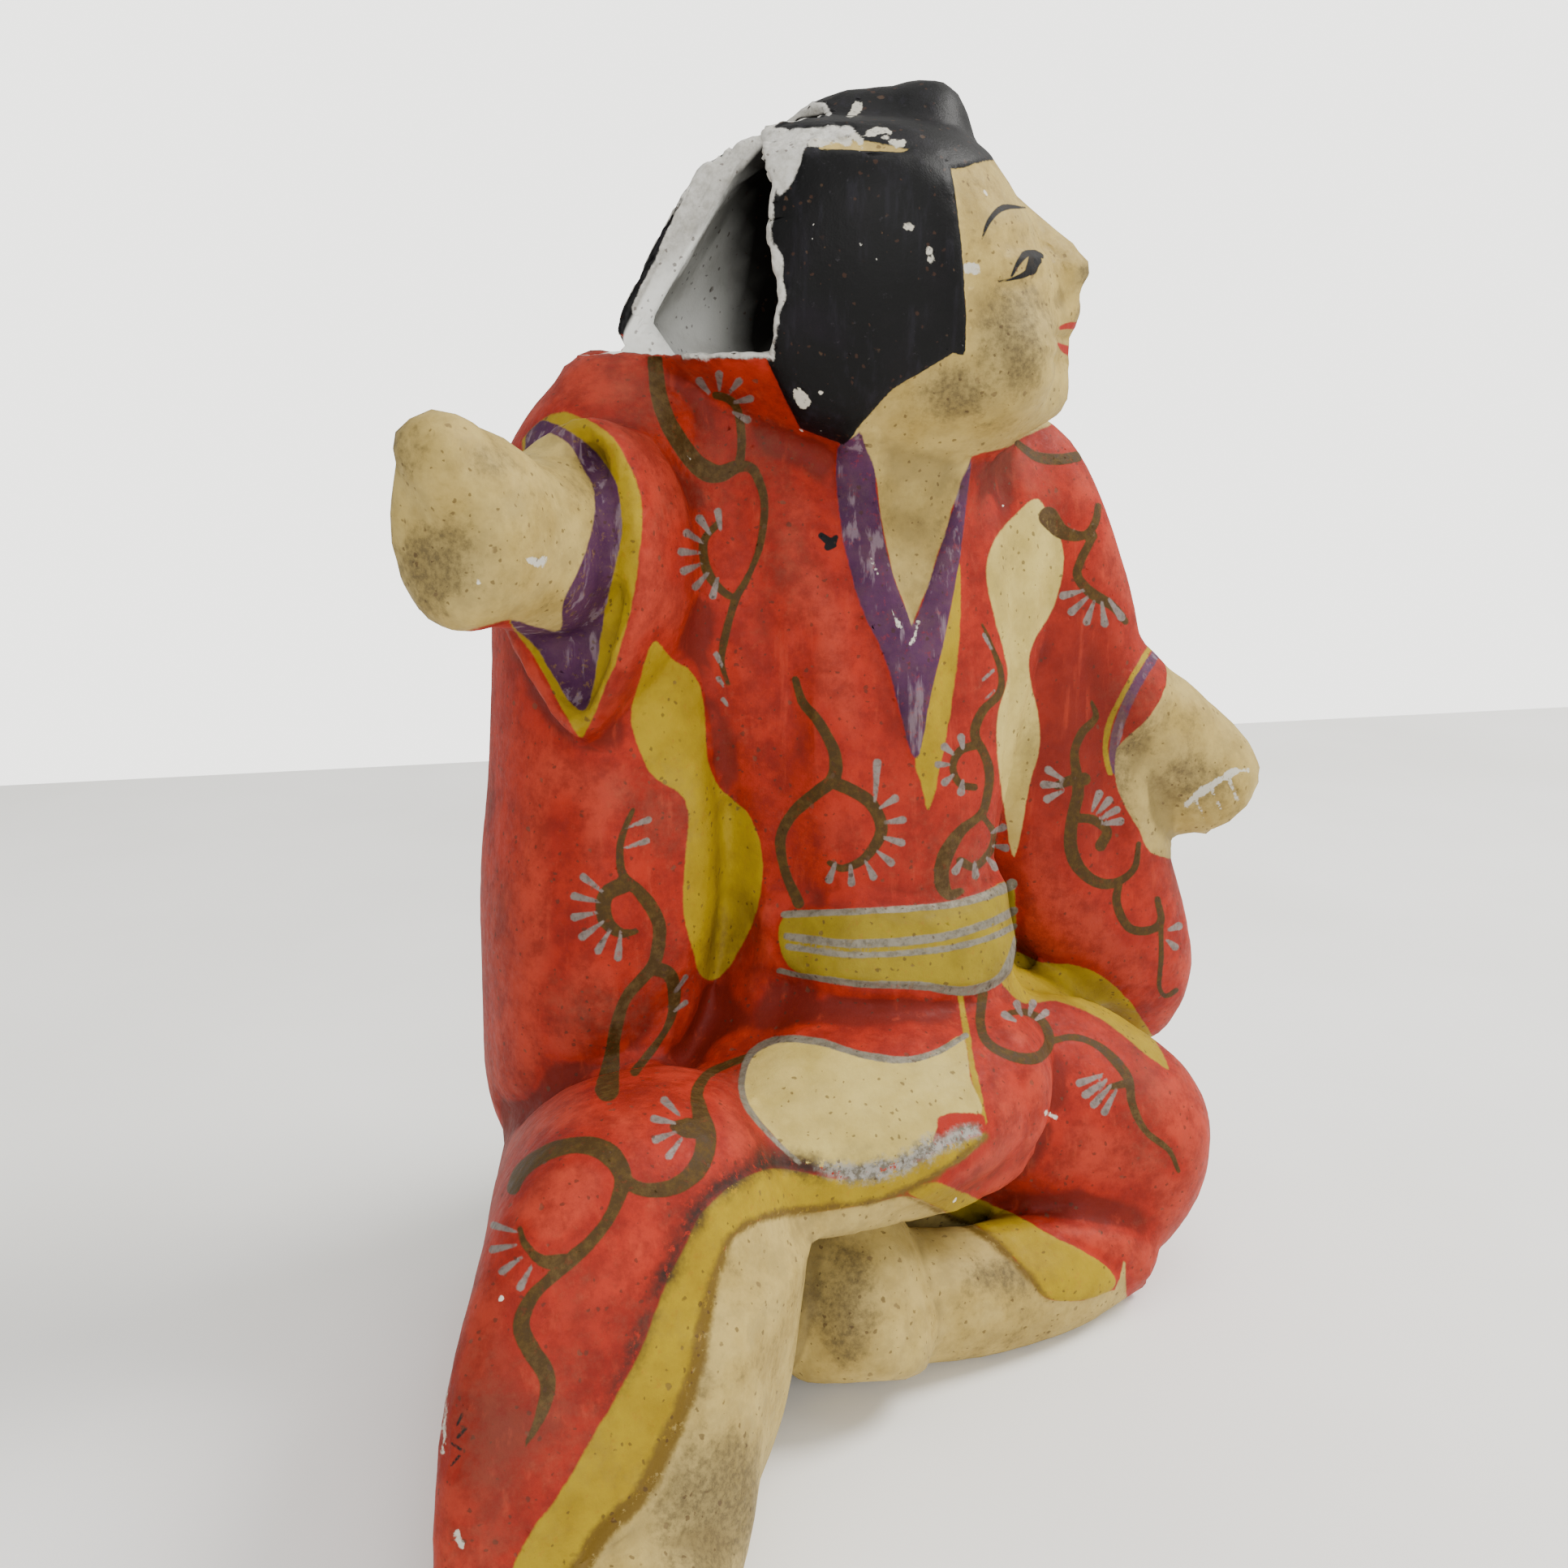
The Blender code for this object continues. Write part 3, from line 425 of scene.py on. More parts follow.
SIDEWAYS = np.array((math.cos(TURN), -math.sin(TURN), 0.0))
UPWARDS = np.array((math.sin(TURN) * math.sin(PITCH), math.cos(TURN) * math.sin(PITCH),
                    math.cos(PITCH)))
AHEAD = np.array((math.sin(TURN) * math.cos(PITCH), math.cos(TURN) * math.cos(PITCH),
                  -math.sin(PITCH)))


def sight(places):
    """Picture pixels at which the eye sees each place, and a pixel's span there."""
    away = places - EYE
    depth = away @ AHEAD
    across = PICTURE / 2 + LENS * (away @ SIDEWAYS) / depth
    down = PICTURE / 2 - LENS * (away @ UPWARDS) / depth
    return np.stack((across, down), 1), depth / LENS


FACING = np.array(((math.sin(HEAD_TURN), -math.cos(HEAD_TURN)),
                   (math.cos(HEAD_TURN), math.sin(HEAD_TURN))))


def to_head(places):
    """Each place in the head's own frame: forward, to its left, up."""
    turned = (places[:, :2] - HEAD_AXIS) @ FACING.T
    return np.column_stack((turned, places[:, 2]))


def from_head(places):
    """The way back from the head's frame."""
    turned = places[:, :2] @ FACING + HEAD_AXIS
    return np.column_stack((turned, places[:, 2]))


def ease(low, high, value):
    """A soft step from 0 to 1."""
    share = np.clip((value - low) / (high - low), 0.0, 1.0)
    return share * share * (3 - 2 * share)


def petal_strokes():
    """Short strokes of the fans, each thicker at its outer end."""
    strokes = []
    for (x, y), inner, outer, first, last, count in FANS:
        for turn in np.radians(np.linspace(first, last, count)):
            way = np.array((math.cos(turn), math.sin(turn)))
            start = np.array((x, y)) + way * inner
            strokes.append(([start, start + way * (outer - inner)], (3.5, 10)))
    for start, end, width in PETALS:
        strokes.append(([start, end], (3.5, width)))
    return strokes


def soiled_and_shaded(spot, seen):
    """How much dirt and painted shade each place gets, from 0 to 1; what the picture doesn't show
    gets a so-so share.
    """
    grime_and_shade = np.full(len(spot), 0.25)
    for (x, y), wide, tall, share in GRIME_AND_SHADE:
        gap = np.hypot((spot[:, 0] - x) / wide, (spot[:, 1] - y) / tall)
        grime_and_shade = np.maximum(grime_and_shade, share * np.exp(-gap ** 2))
    return np.where(seen, grime_and_shade, 0.4)


def survey(at, seen):
    """Depth of every place in each colour of the painting, in millimetres."""
    spot, span = sight(at)
    head = to_head(at)
    near_side = head.copy()
    near_side[:, 1] = -np.abs(near_side[:, 1])
    face_spot, face_span = sight(from_head(near_side))

    def area(outline):
        return in_area(spot, rounded(outline)) * span

    def brushed(strokes):
        deep = np.full(len(at), FAR)
        for points, widths in strokes:
            deep = np.maximum(deep, in_stroke(spot, points, widths) * span)
        return np.where(seen, deep, FAR)

    def on_face(strokes):
        deep = np.full(len(at), FAR)
        for points, widths in strokes:
            deep = np.maximum(deep, in_stroke(face_spot, points, widths) * face_span)
        return np.where((at[:, 2] > FACE_FOOT) & (head[:, 0] > FACE_FRONT), deep, FAR)

    def eyes_only(strokes):
        return np.where(np.abs(head[:, 1]) > EYE_GAP, on_face(strokes), FAR)

    def past(mouth, back=0.0):
        centre, way = mouth
        return (at - centre) @ np.array(way) / np.linalg.norm(way) + back

    low = LEGS_TOP - at[:, 2]
    right_arm = np.minimum(area(RIGHT_ARM_OUTLINE), past(RIGHT_MOUTH, 6.0))
    left_arm = np.minimum(area(LEFT_ARM_OUTLINE), past(LEFT_MOUTH, 3.0))
    legs = np.minimum(area(LEG_SKIN), low)
    foot = np.minimum(TOES - at[:, 1], FOOT_TOP - at[:, 2])
    neck = np.minimum(in_area(face_spot, NECK) * face_span, at[:, 2] - NECK_FOOT)
    neck = np.where(head[:, 1] > 4, np.minimum(neck, at[:, 2] - NECK_FOOT_LEFT), neck)
    bare_head = np.minimum.reduce((at[:, 2] - CHIN, head[:, 0] + 12,
                                   np.maximum(head[:, 0] - 9, at[:, 2] - BREAK_FOOT)))
    skin = np.maximum.reduce((right_arm, left_arm, legs, foot, neck, bare_head))

    around = np.stack((head[:, 0], head[:, 2]), 1)
    side_hair = in_area(around, SIDE_HAIR)
    top_hair = np.minimum(in_area(face_spot, TOP_HAIR) * face_span, at[:, 2] - TOP_HAIR_FOOT)
    crown = np.minimum.reduce((at[:, 2] - CROWN_FOOT, -3.0 - head[:, 0],
                               np.maximum(CROWN_TOP - at[:, 2], -1.0 - head[:, 0])))
    hair = np.maximum.reduce((side_hair, top_hair, crown))
    hair = np.where(seen, np.minimum(hair, -area(ROBE_END)), hair)

    sleeve_rim = np.minimum(area(RIGHT_MOUTH_RIM), past(RIGHT_MOUTH, 12.0))
    sleeve_lining = np.minimum(area(RIGHT_MOUTH_LINING), past(RIGHT_MOUTH, 12.0))
    collar = np.maximum(area(RIGHT_COLLAR), area(LEFT_COLLAR))
    collar = np.minimum(collar, at[:, 2] - COLLAR_FOOT)
    fold = np.maximum(area(LINING), area(LEFT_HEM))
    yellow = np.maximum.reduce((area(COLLAR_SLIP), sleeve_rim, brushed([LEFT_RIM]), area(SASH),
                                area(THIGH_STRIP), brushed([(PANEL_LINE, (6, 8, 7))]),
                                np.minimum(fold, low), area(YELLOW_GOURD)))
    back = at[:, 1] - SEAM + 3.0 * ease(120, 30, at[:, 2]) - 40 * ease(180, 188, at[:, 2])
    gone = in_area(around, BREAK)
    leaf = head[:, 1] - BREAK_SIDE - (head[:, 2] - BREAK_FOOT) * BREAK_LEAN
    height = head[:, 2]
    ragged = RAGGED * (np.sin(height * 0.31 + 1.0) + 0.6 * np.sin(height * 0.83)
                       * np.sin(height * 0.19))
    torn = np.maximum(np.minimum.reduce((gone + 0.8 + ragged, 2.4 - gone, 2.5 - leaf)),
                      np.minimum(gone + 0.8, 1.7 - np.abs(leaf)))
    bite = np.linalg.norm((head - TORN_CROWN[0]) / np.array(TORN_CROWN[1]), axis=1)
    torn = np.maximum(torn, (1.08 - bite) * 8.0)
    torn = np.where(seen, np.maximum(torn, area(CROWN_CHIP)), torn)
    torn = np.where(seen, np.minimum.reduce((torn, -area(HAIR_STRIP), -area(ROBE_END))), torn)
    return {
        "skin": skin, "hair": hair, "yellow": yellow,
        "purple": np.maximum.reduce((collar, sleeve_lining, brushed([LEFT_RIM_LINING]))),
        "cream": np.maximum(area(CHEST_GOURD), np.minimum(area(LAP_GOURD), at[:, 2] - LAP_FOOT)),
        "scroll": brushed([(line, np.array(w) * SCROLL_WEIGHT) for line, w in SCROLLS]),
        "petal": brushed(petal_strokes()),
        "silver": np.maximum(brushed(SASH_LINES), brushed([(LAP_GOURD_EDGE, (7, 9, 9, 8, 5))])),
        "brushed_silver": brushed([(LAP_BRUSHED, (18, 24, 26, 16))]),
        "tongue": np.where(seen, area(LAP_TONGUE), FAR),
        "shade": brushed([(LINING_SHADOW, (7, 10, 12, 20, 26, 26)), (LEFT_HEM_SHADE, (5, 9, 5))]),
        # painted shade along the lining's top, under the lap's hem
        "under_hem_shade": brushed([(LINING_TOP_SHADE, (24, 24, 20, 16, 10))]),
        "ink": np.maximum.reduce((eyes_only([BROW] + EYE_LINES), brushed(PEN_MARKS),
                                  brushed(BLACK_SPOT))),
        "lips": on_face(LIPS),
        "chip": np.maximum(brushed(PATE_CHIPS), brushed(SCUFFS)),
        "back": back,
        "torn": torn,
        # dirt and painted shade, from the table of patches
        "grime_and_shade": soiled_and_shaded(spot, seen),
        # painted shade on the head's inner wall, growing towards the face and upwards
        "inner_shade": ease(-27, -15, head[:, 0]) * ease(180, 192, at[:, 2]),
        "sash": area(SASH), "collar": collar, "fold": np.minimum(fold, low),
    }


def places_of(mesh):
    """Vertex places in millimetres."""
    return np.array([v.co for v in mesh.verts]) / MM


def mark_hollow(mesh, tree, layer, looks=24):
    """Marks the hollow's own wall, spreading over clay that sees little of the outside."""
    ways = []
    for turn in range(looks):
        lift = 1 - (2 * turn + 1) / looks
        flat = math.sqrt(1 - lift * lift)
        ways.append(Vector((flat * math.cos(2.4 * turn), flat * math.sin(2.4 * turn), lift)))
    shut = {}
    for vert in mesh.verts:
        start = vert.co + vert.normal * 0.4 * MM
        hits = sum(tree.ray_cast(start, way)[0] is not None for way in ways)
        shut[vert] = hits / looks
    middle = Vector(HOLLOW_MIDDLE) * MM
    wall = [v for v in mesh.verts if shut[v] == 1.0]
    waiting = [min(wall, key=lambda v: (v.co - middle).length)]
    marked = set(waiting)
    while waiting:
        vert = waiting.pop()
        for e in vert.link_edges:
            other = e.other_vert(vert)
            if other not in marked and shut[other] > SHUT_IN:
                marked.add(other)
                waiting.append(other)
    for vert in marked:
        vert[layer] = 1.0


def split_long(mesh, length_of):
    """Halves every edge longer than its own limit, then makes triangles again."""
    long_edges = [e for e in mesh.edges if e.calc_length() > length_of(e) * MM]
    bmesh.ops.subdivide_edges(mesh, edges=long_edges, cuts=1)
    bmesh.ops.triangulate(mesh, faces=[f for f in mesh.faces if len(f.verts) > 3])
    mesh.verts.index_update()
    mesh.verts.ensure_lookup_table()


def settle_skin(mesh, inner, rounds, strength):
    """Evens the outer skin's facets, but not the flat underside or the broken rim."""
    moved = []
    for vert in mesh.verts:
        rim = any(other.other_vert(vert)[inner] > 0.2 for other in vert.link_edges)
        if vert[inner] < 0.2 and not rim and vert.co.z > 0.7 * MM:
            moved.append(vert)
    for step in [strength, -strength * 1.04] * rounds:
        bmesh.ops.smooth_vert(mesh, verts=moved, factor=step, use_axis_x=True,
                              use_axis_y=True, use_axis_z=True)


def in_view(mesh, tree):
    """Which vertices the picture's eye sees."""
    eye = Vector(EYE * MM)
    seen = np.zeros(len(mesh.verts), bool)
    for row, vert in enumerate(mesh.verts):
        way = eye - vert.co
        if vert.normal.dot(way.normalized()) < 0.04:
            continue
        start = vert.co + vert.normal * 0.5 * MM + way.normalized() * 1.2 * MM
        seen[row] = tree.ray_cast(start, way)[0] is None
    return seen


def hollows(mesh, rounds=9):
    """How far each vertex lies below the smoothed surface round it, in millimetres."""
    at = places_of(mesh)
    normal = np.array([v.normal for v in mesh.verts])
    ends = np.array([(e.verts[0].index, e.verts[1].index) for e in mesh.edges])
    count = np.bincount(ends.ravel(), minlength=len(at))[:, None]
    even = at.copy()
    for _ in range(rounds):
        total = np.zeros_like(even)
        np.add.at(total, ends[:, 0], even[ends[:, 1]])
        np.add.at(total, ends[:, 1], even[ends[:, 0]])
        even = total / count
    return ((even - at) * normal).sum(1)


EDGED = ("skin", "hair", "yellow", "purple", "cream", "torn", "lips", "tongue", "back")
LINED = ("scroll", "petal", "silver", "ink", "chip", "lips", "shade")


def clay_skin(source):
    """The doll's fine surface with the painting's depths on its vertices."""
    mesh = bmesh.new()
    mesh.from_mesh(source.data)
    bmesh.ops.remove_doubles(mesh, verts=mesh.verts, dist=0.01 * MM)
    mesh.normal_update()
    tree = BVHTree.FromBMesh(mesh)
    inner = mesh.verts.layers.float.new("inside")
    mark_hollow(mesh, tree, inner)

    def coarse(limit):
        return lambda e: (limit if e.verts[0][inner] + e.verts[1][inner] < 1.5
                          else HOLLOW_EDGE)

    for limit in SKIN_EDGES[:2]:
        split_long(mesh, coarse(limit))
    settle_skin(mesh, inner, 4, 0.5)
    split_long(mesh, coarse(SKIN_EDGES[2]))
    settle_skin(mesh, inner, 5, 0.5)
    mesh.normal_update()
    tree = BVHTree.FromBMesh(mesh)

    for reach, limit in PAINT_PASSES:
        seen = in_view(mesh, tree)
        fields = survey(places_of(mesh), seen)
        edged = np.min([np.abs(fields[name]) for name in EDGED], axis=0)
        lined = np.max([fields[name] for name in LINED], axis=0)
        face = (fields["ink"] > -2) | (fields["lips"] > -2)
        wanted = seen & ((edged < reach) | (lined > -reach))

        def near_paint(e):
            one, two = (v.index for v in e.verts)
            if e.verts[0][inner] + e.verts[1][inner] > 1.5:
                return UNCUT
            if face[one] or face[two]:
                return limit * FACE_FINER
            return limit if wanted[one] or wanted[two] else UNCUT

        split_long(mesh, near_paint)
        mesh.normal_update()

    at = places_of(mesh)
    seen = in_view(mesh, tree)
    fields = survey(at, seen)
    normal = np.array([v.normal for v in mesh.verts])
    inside = np.array([v[inner] for v in mesh.verts])
    spot, span = sight(at)
    relief = sum(height * ease(-soft, soft, fields[name]) for name, height, soft in LIFTS)
    relief += HAIR_LIFT * ease(-0.6, 0.8, np.minimum(fields["hair"], at[:, 2] - HAIR_FOOT))
    for points, widths, depth in GROOVES:
        cut = in_stroke(spot, points, widths) * span
        relief -= np.where(seen, depth * ease(-1.2, 1.0, cut), 0.0)
    for outline, height, soft in LUMPS:
        raised = in_area(spot, rounded(outline)) * span
        relief += np.where(seen, height * ease(-soft, soft, raised), 0.0)
    for middle, reach, height in SWELLS:
        gap = np.linalg.norm(at - np.array(middle), axis=1)
        relief += height * np.exp(-(gap / reach) ** 2)
    crumble = np.array([noise.noise(Vector(p) * 0.55) for p in at])
    relief += np.where(fields["torn"] > -0.4, CRUMBLE * crumble, 0.0)
    relief += UNEVEN * np.array([noise.noise(Vector(p) * 0.12 + Vector((9, 4, 2))) for p in at])
    relief *= (inside < 0.5) & (at[:, 2] > 1.2)
    for vert, way, height in zip(mesh.verts, normal, relief):
        vert.co += Vector(way) * float(height) * MM
    mesh.normal_update()
    fields["hollow"] = hollows(mesh)
    fields["inside"] = inside

    data = bpy.data.meshes.new("doll_skin")
    mesh.to_mesh(data)
    mesh.free()
    data.attributes.remove(data.attributes["inside"])
    for name, values in fields.items():
        if name not in ("collar", "fold"):
            kept = data.attributes.new(name, "FLOAT", "POINT")
            kept.data.foreach_set("value", np.clip(values, -9, 9).astype(np.float32))
    for face in data.polygons:
        face.use_smooth = True
    skin = bpy.data.objects.new("doll_skin", data)
    bpy.context.collection.objects.link(skin)
    return skin


def tone(code):
    """A paint's colour, from the way it is named on a screen."""
    parts = [int(code[i:i + 2], 16) / 255 for i in (0, 2, 4)]
    return (*[p / 12.92 if p <= 0.04045 else ((p + 0.055) / 1.055) ** 2.4 for p in parts], 1.0)


def put(tree, kind, settings=None, links=None):
    """Adds a node with its settings, and feeds or sets its inputs."""
    node = tree.nodes.new("ShaderNode" + kind)
    for name, value in (settings or {}).items():
        setattr(node, name, value)
    for name, value in (links or {}).items():
        if isinstance(value, bpy.types.NodeSocket):
            tree.links.new(value, node.inputs[name])
        else:
            node.inputs[name].default_value = value
    return node


def sums(tree, how, one, two):
    return put(tree, "Math", {"operation": how, "use_clamp": False}, {0: one, 1: two}).outputs[0]


def limited(tree, value, low, high, lowest=0.0, highest=1.0):
    """A soft step between two values."""
    return put(tree, "MapRange", {"interpolation_type": "SMOOTHSTEP"},
               {0: value, 1: low, 2: high, 3: lowest, 4: highest}).outputs[0]


def cloud(tree, where, scale, detail=3.0, roughness=0.55):
    return put(tree, "TexNoise", {"noise_dimensions": "3D", "noise_type": "FBM"},
               {"Vector": where, "Scale": scale, "Detail": detail,
                "Roughness": roughness}).outputs[0]


def blend(tree, share, under, over):
    return put(tree, "Mix", {"data_type": "RGBA", "blend_type": "MIX"},
               {0: share, 6: under, 7: over}).outputs[2]


def group(name, inputs):
    """An empty node group with number inputs and one output."""
    tree = bpy.data.node_groups.new(name, "ShaderNodeTree")
    for label, start in inputs.items():
        socket = tree.interface.new_socket(label, in_out="INPUT", socket_type="NodeSocketFloat")
        socket.default_value = start
    tree.interface.new_socket("Mask", in_out="OUTPUT", socket_type="NodeSocketFloat")
    return tree, tree.nodes.new("NodeGroupInput"), tree.nodes.new("NodeGroupOutput")


def brush_edge_group():
    """Where a coat of paint covers: its depth, with a wandering, dry brushed edge."""
    tree, given, out = group("brushed_edge", {"Depth": 0.0, "Wander": 0.5, "Soft": 0.2,
                                              "Worn": 0.0})
    where = put(tree, "TexCoord").outputs["Object"]
    wide = cloud(tree, where, 240.0)
    fine = cloud(tree, where, 1500.0, 2.0)
    drift = sums(tree, "ADD", sums(tree, "MULTIPLY", sums(tree, "SUBTRACT", wide, 0.5), 1.4),
                 sums(tree, "MULTIPLY", sums(tree, "SUBTRACT", fine, 0.5), 0.6))
    depth = sums(tree, "ADD", given.outputs["Depth"],
                 sums(tree, "MULTIPLY", drift, given.outputs["Wander"]))
    low = sums(tree, "MULTIPLY", given.outputs["Soft"], -1.0)
    cover = limited(tree, depth, low, given.outputs["Soft"])
    rubbed = limited(tree, cloud(tree, where, 700.0, 5.0, 0.7), 0.56, 0.66)
    cover = sums(tree, "MULTIPLY", cover,
                 sums(tree, "SUBTRACT", 1.0, sums(tree, "MULTIPLY", rubbed,
                                                  given.outputs["Worn"])))
    tree.links.new(cover, out.inputs[0])
    return tree


def fleck_group():
    """Scattered round flecks: pits, splashes and chips of one size."""
    tree, given, out = group("flecks", {"Scale": 600.0, "Size": 0.25, "Share": 0.3})
    where = put(tree, "TexCoord").outputs["Object"]
    shaken = put(tree, "VectorMath", {"operation": "ADD"}, {
        0: where, 1: put(tree, "VectorMath", {"operation": "SCALE"}, {
            0: put(tree, "TexNoise", None, {"Vector": where, "Scale": 900.0}).outputs[1],
            3: 0.0011}).outputs[0]}).outputs[0]
    cell = put(tree, "TexVoronoi", {"feature": "F1"}, {"Vector": shaken,
                                                       "Scale": given.outputs["Scale"]})
    pick = put(tree, "SeparateColor", None, {0: cell.outputs["Color"]}).outputs[0]
    kept = limited(tree, pick, given.outputs["Share"],
                   sums(tree, "SUBTRACT", given.outputs["Share"], 0.02))
    size = sums(tree, "MULTIPLY", given.outputs["Size"],
                sums(tree, "ADD", 0.4, put(tree, "SeparateColor", None,
                                           {0: cell.outputs["Color"]}).outputs[1]))
    dot = limited(tree, cell.outputs["Distance"], size, sums(tree, "MULTIPLY", size, 0.6))
    tree.links.new(sums(tree, "MULTIPLY", kept, dot), out.inputs[0])
    return tree


def painted_clay(edges, flecks):
    """Matt distemper on moulded clay: robe red, skin, brushwork, breaks, wear and dirt, painted
    shade in hollows, under the hem and inside the head, painted highlight on ridges and painted
    sheen on the hair.
    """
    material = bpy.data.materials.new("painted_clay")
    material.use_nodes = True
    tree = material.node_tree
    tree.nodes.clear()
    where = put(tree, "TexCoord").outputs["Object"]

    def depth(name):
        return put(tree, "Attribute", {"attribute_name": name}).outputs["Fac"]

    def cover(name, wander=0.5, soft=0.2, worn=0.0):
        return put(tree, "Group", {"node_tree": edges}, {
            0: depth(name), 1: wander, 2: soft, 3: worn}).outputs[0]

    def dots(scale, size, share):
        return put(tree, "Group", {"node_tree": flecks},
                   {0: scale, 1: size, 2: share}).outputs[0]

    wide = cloud(tree, where, 34.0, 4.0, 0.6)
    patch = cloud(tree, where, 95.0, 5.0, 0.62)
    fine = cloud(tree, where, 620.0, 6.0, 0.7)
    grain = cloud(tree, where, 2600.0, 1.0, 0.6)
    drawn = put(tree, "Mapping", {"vector_type": "POINT"}, {0: where,
                                                            3: (1.0, 1.0, 0.16)}).outputs[0]
    streak = cloud(tree, drawn, 420.0, 4.0, 0.6)
    # Hollows and creases are darkened as dirt and painted shade; raised ridges are lightened as
    # rubbed wear and painted highlight.
    sunk_dirt_and_shade = limited(tree, depth("hollow"), 0.03, 0.55)
    ridge_wear_and_highlight = limited(tree, depth("hollow"), -0.05, -0.55)

    def mottled(light, dark, share=patch, low=0.35, high=0.7):
        return blend(tree, limited(tree, share, low, high), tone(light), tone(dark))

    def laid(mask, share, under, code):
        return blend(tree, sums(tree, "MULTIPLY", mask, share), under, tone(code))

    # Dirt and painted shade, mixed with random mottling, make the stain map that greys the coats.
    grime_and_shade = depth("grime_and_shade")
    stain_and_shade = sums(tree, "ADD", patch, sums(tree, "MULTIPLY", sums(tree, "SUBTRACT", fine, 0.5),
                                          0.7))
    stain_and_shade = sums(tree, "ADD", stain_and_shade, sums(tree, "MULTIPLY", sums(tree, "SUBTRACT", grime_and_shade, 0.3),
                                          0.75))

    broken = limited(tree, cloud(tree, where, 900.0, 5.0, 0.75), 0.36, 0.64, 0.5, 1.0)
    smudge = limited(tree, cloud(tree, where, 210.0, 6.0, 0.72), 0.40, 0.66)

    # Darkens a colour towards a dark tone where the stain map is high, as dirt and painted shade.
    def dirtied_and_shaded(colour, soil_and_shade, amount, reach=0.5):
        mask = sums(tree, "MULTIPLY", limited(tree, stain_and_shade, reach, reach + 0.45), amount)
        mask = sums(tree, "MULTIPLY", mask, broken)
        mask = sums(tree, "MAXIMUM", mask, sums(tree, "MULTIPLY", smudge, amount * 0.30))
        return blend(tree, mask, colour, tone(soil_and_shade))

    red = mottled("A82814", "8E1D10")
    red = blend(tree, limited(tree, wide, 0.48, 0.70, 0.0, 0.45), red, tone("741509"))
    red = blend(tree, limited(tree, fine, 0.56, 0.75, 0.0, 0.4), red, tone("AE3A22"))
    # The red darkens in hollows as dirt and painted shade, lightens on ridges as wear and painted
    # highlight, and greys with the dirt-and-shade map and random smudges.
    for mask, share, code in ((sunk_dirt_and_shade, 0.7, "42100A"), (ridge_wear_and_highlight, 0.45, "B84630"),
                              (grime_and_shade, 0.8, "5C180E"), (smudge, 0.55, "63120A")):
        red = laid(mask, share, red, code)
    red = blend(tree, limited(tree, streak, 0.55, 0.75, 0.0, 0.35), red, tone("AE3C24"))
    dark_patch = limited(tree, cloud(tree, where, 70.0, 8.0, 0.78), 0.50, 0.62, 0.0, 0.34)
    red = blend(tree, dark_patch, red, tone("5E140E"))
    # Yellow, skin, purple and cream are greyed through the stain map by dirt and painted shade;
    # the skin also darkens in its hollows, as dirt and painted shade.
    yellow = mottled("988010", "866D0A")
    belt = limited(tree, depth("sash"), -0.5, 0.5)
    yellow = blend(tree, belt, yellow, mottled("857318", "746210"))
    yellow = dirtied_and_shaded(yellow, "5E4A10", 0.55)
    skin = laid(grime_and_shade, 0.5, mottled("B39C59", "A08845"), "7A6C4E")
    skin = dirtied_and_shaded(skin, "54482F", 0.9, 0.44)
    skin = laid(sunk_dirt_and_shade, 0.5, skin, "5E4E2E")
    purple = blend(tree, limited(tree, streak, 0.54, 0.66, 0.0, 0.45),
                   mottled("4A2644", "381836"), tone("8C7C84"))
    purple = dirtied_and_shaded(purple, "6A5240", 0.5, 0.55)
    cream = dirtied_and_shaded(mottled("B8A45C", "A4904A"), "7C6E44", 0.6, 0.55)
    scroll = mottled("3A280C", "4C3814", fine, 0.4, 0.7)
    petal = mottled("7A6F69", "5E544F", fine, 0.4, 0.7)
    silver = mottled("787264", "5C5648", fine, 0.4, 0.7)
    hair = blend(tree, limited(tree, patch, 0.45, 0.7), tone("040405"), tone("0A080B"))
    hair = blend(tree, limited(tree, wide, 0.56, 0.72, 0.0, 0.6), hair, tone("120C16"))
    # Paler vertical streaks on the black hair are painted sheen.
    hair = blend(tree, limited(tree, streak, 0.52, 0.72, 0.0, 0.5), hair, tone("1C1A22"))
    hair = laid(limited(tree, fine, 0.62, 0.72), 0.4, hair, "3A363C")
    clay = mottled("C6C4BE", "AAA79E", fine, 0.35, 0.7)
    bare = mottled("BDB9AE", "A59D8C", patch, 0.4, 0.68)
    bare = blend(tree, limited(tree, fine, 0.58, 0.72, 0.0, 0.6), bare, tone("857B6A"))
    inner = mottled("E6E6E0", "D2D1CA", patch, 0.4, 0.65)
    # The head's inside darkens to near black here as painted shade.
    inner = blend(tree, depth("inner_shade"), inner, tone("14120F"))

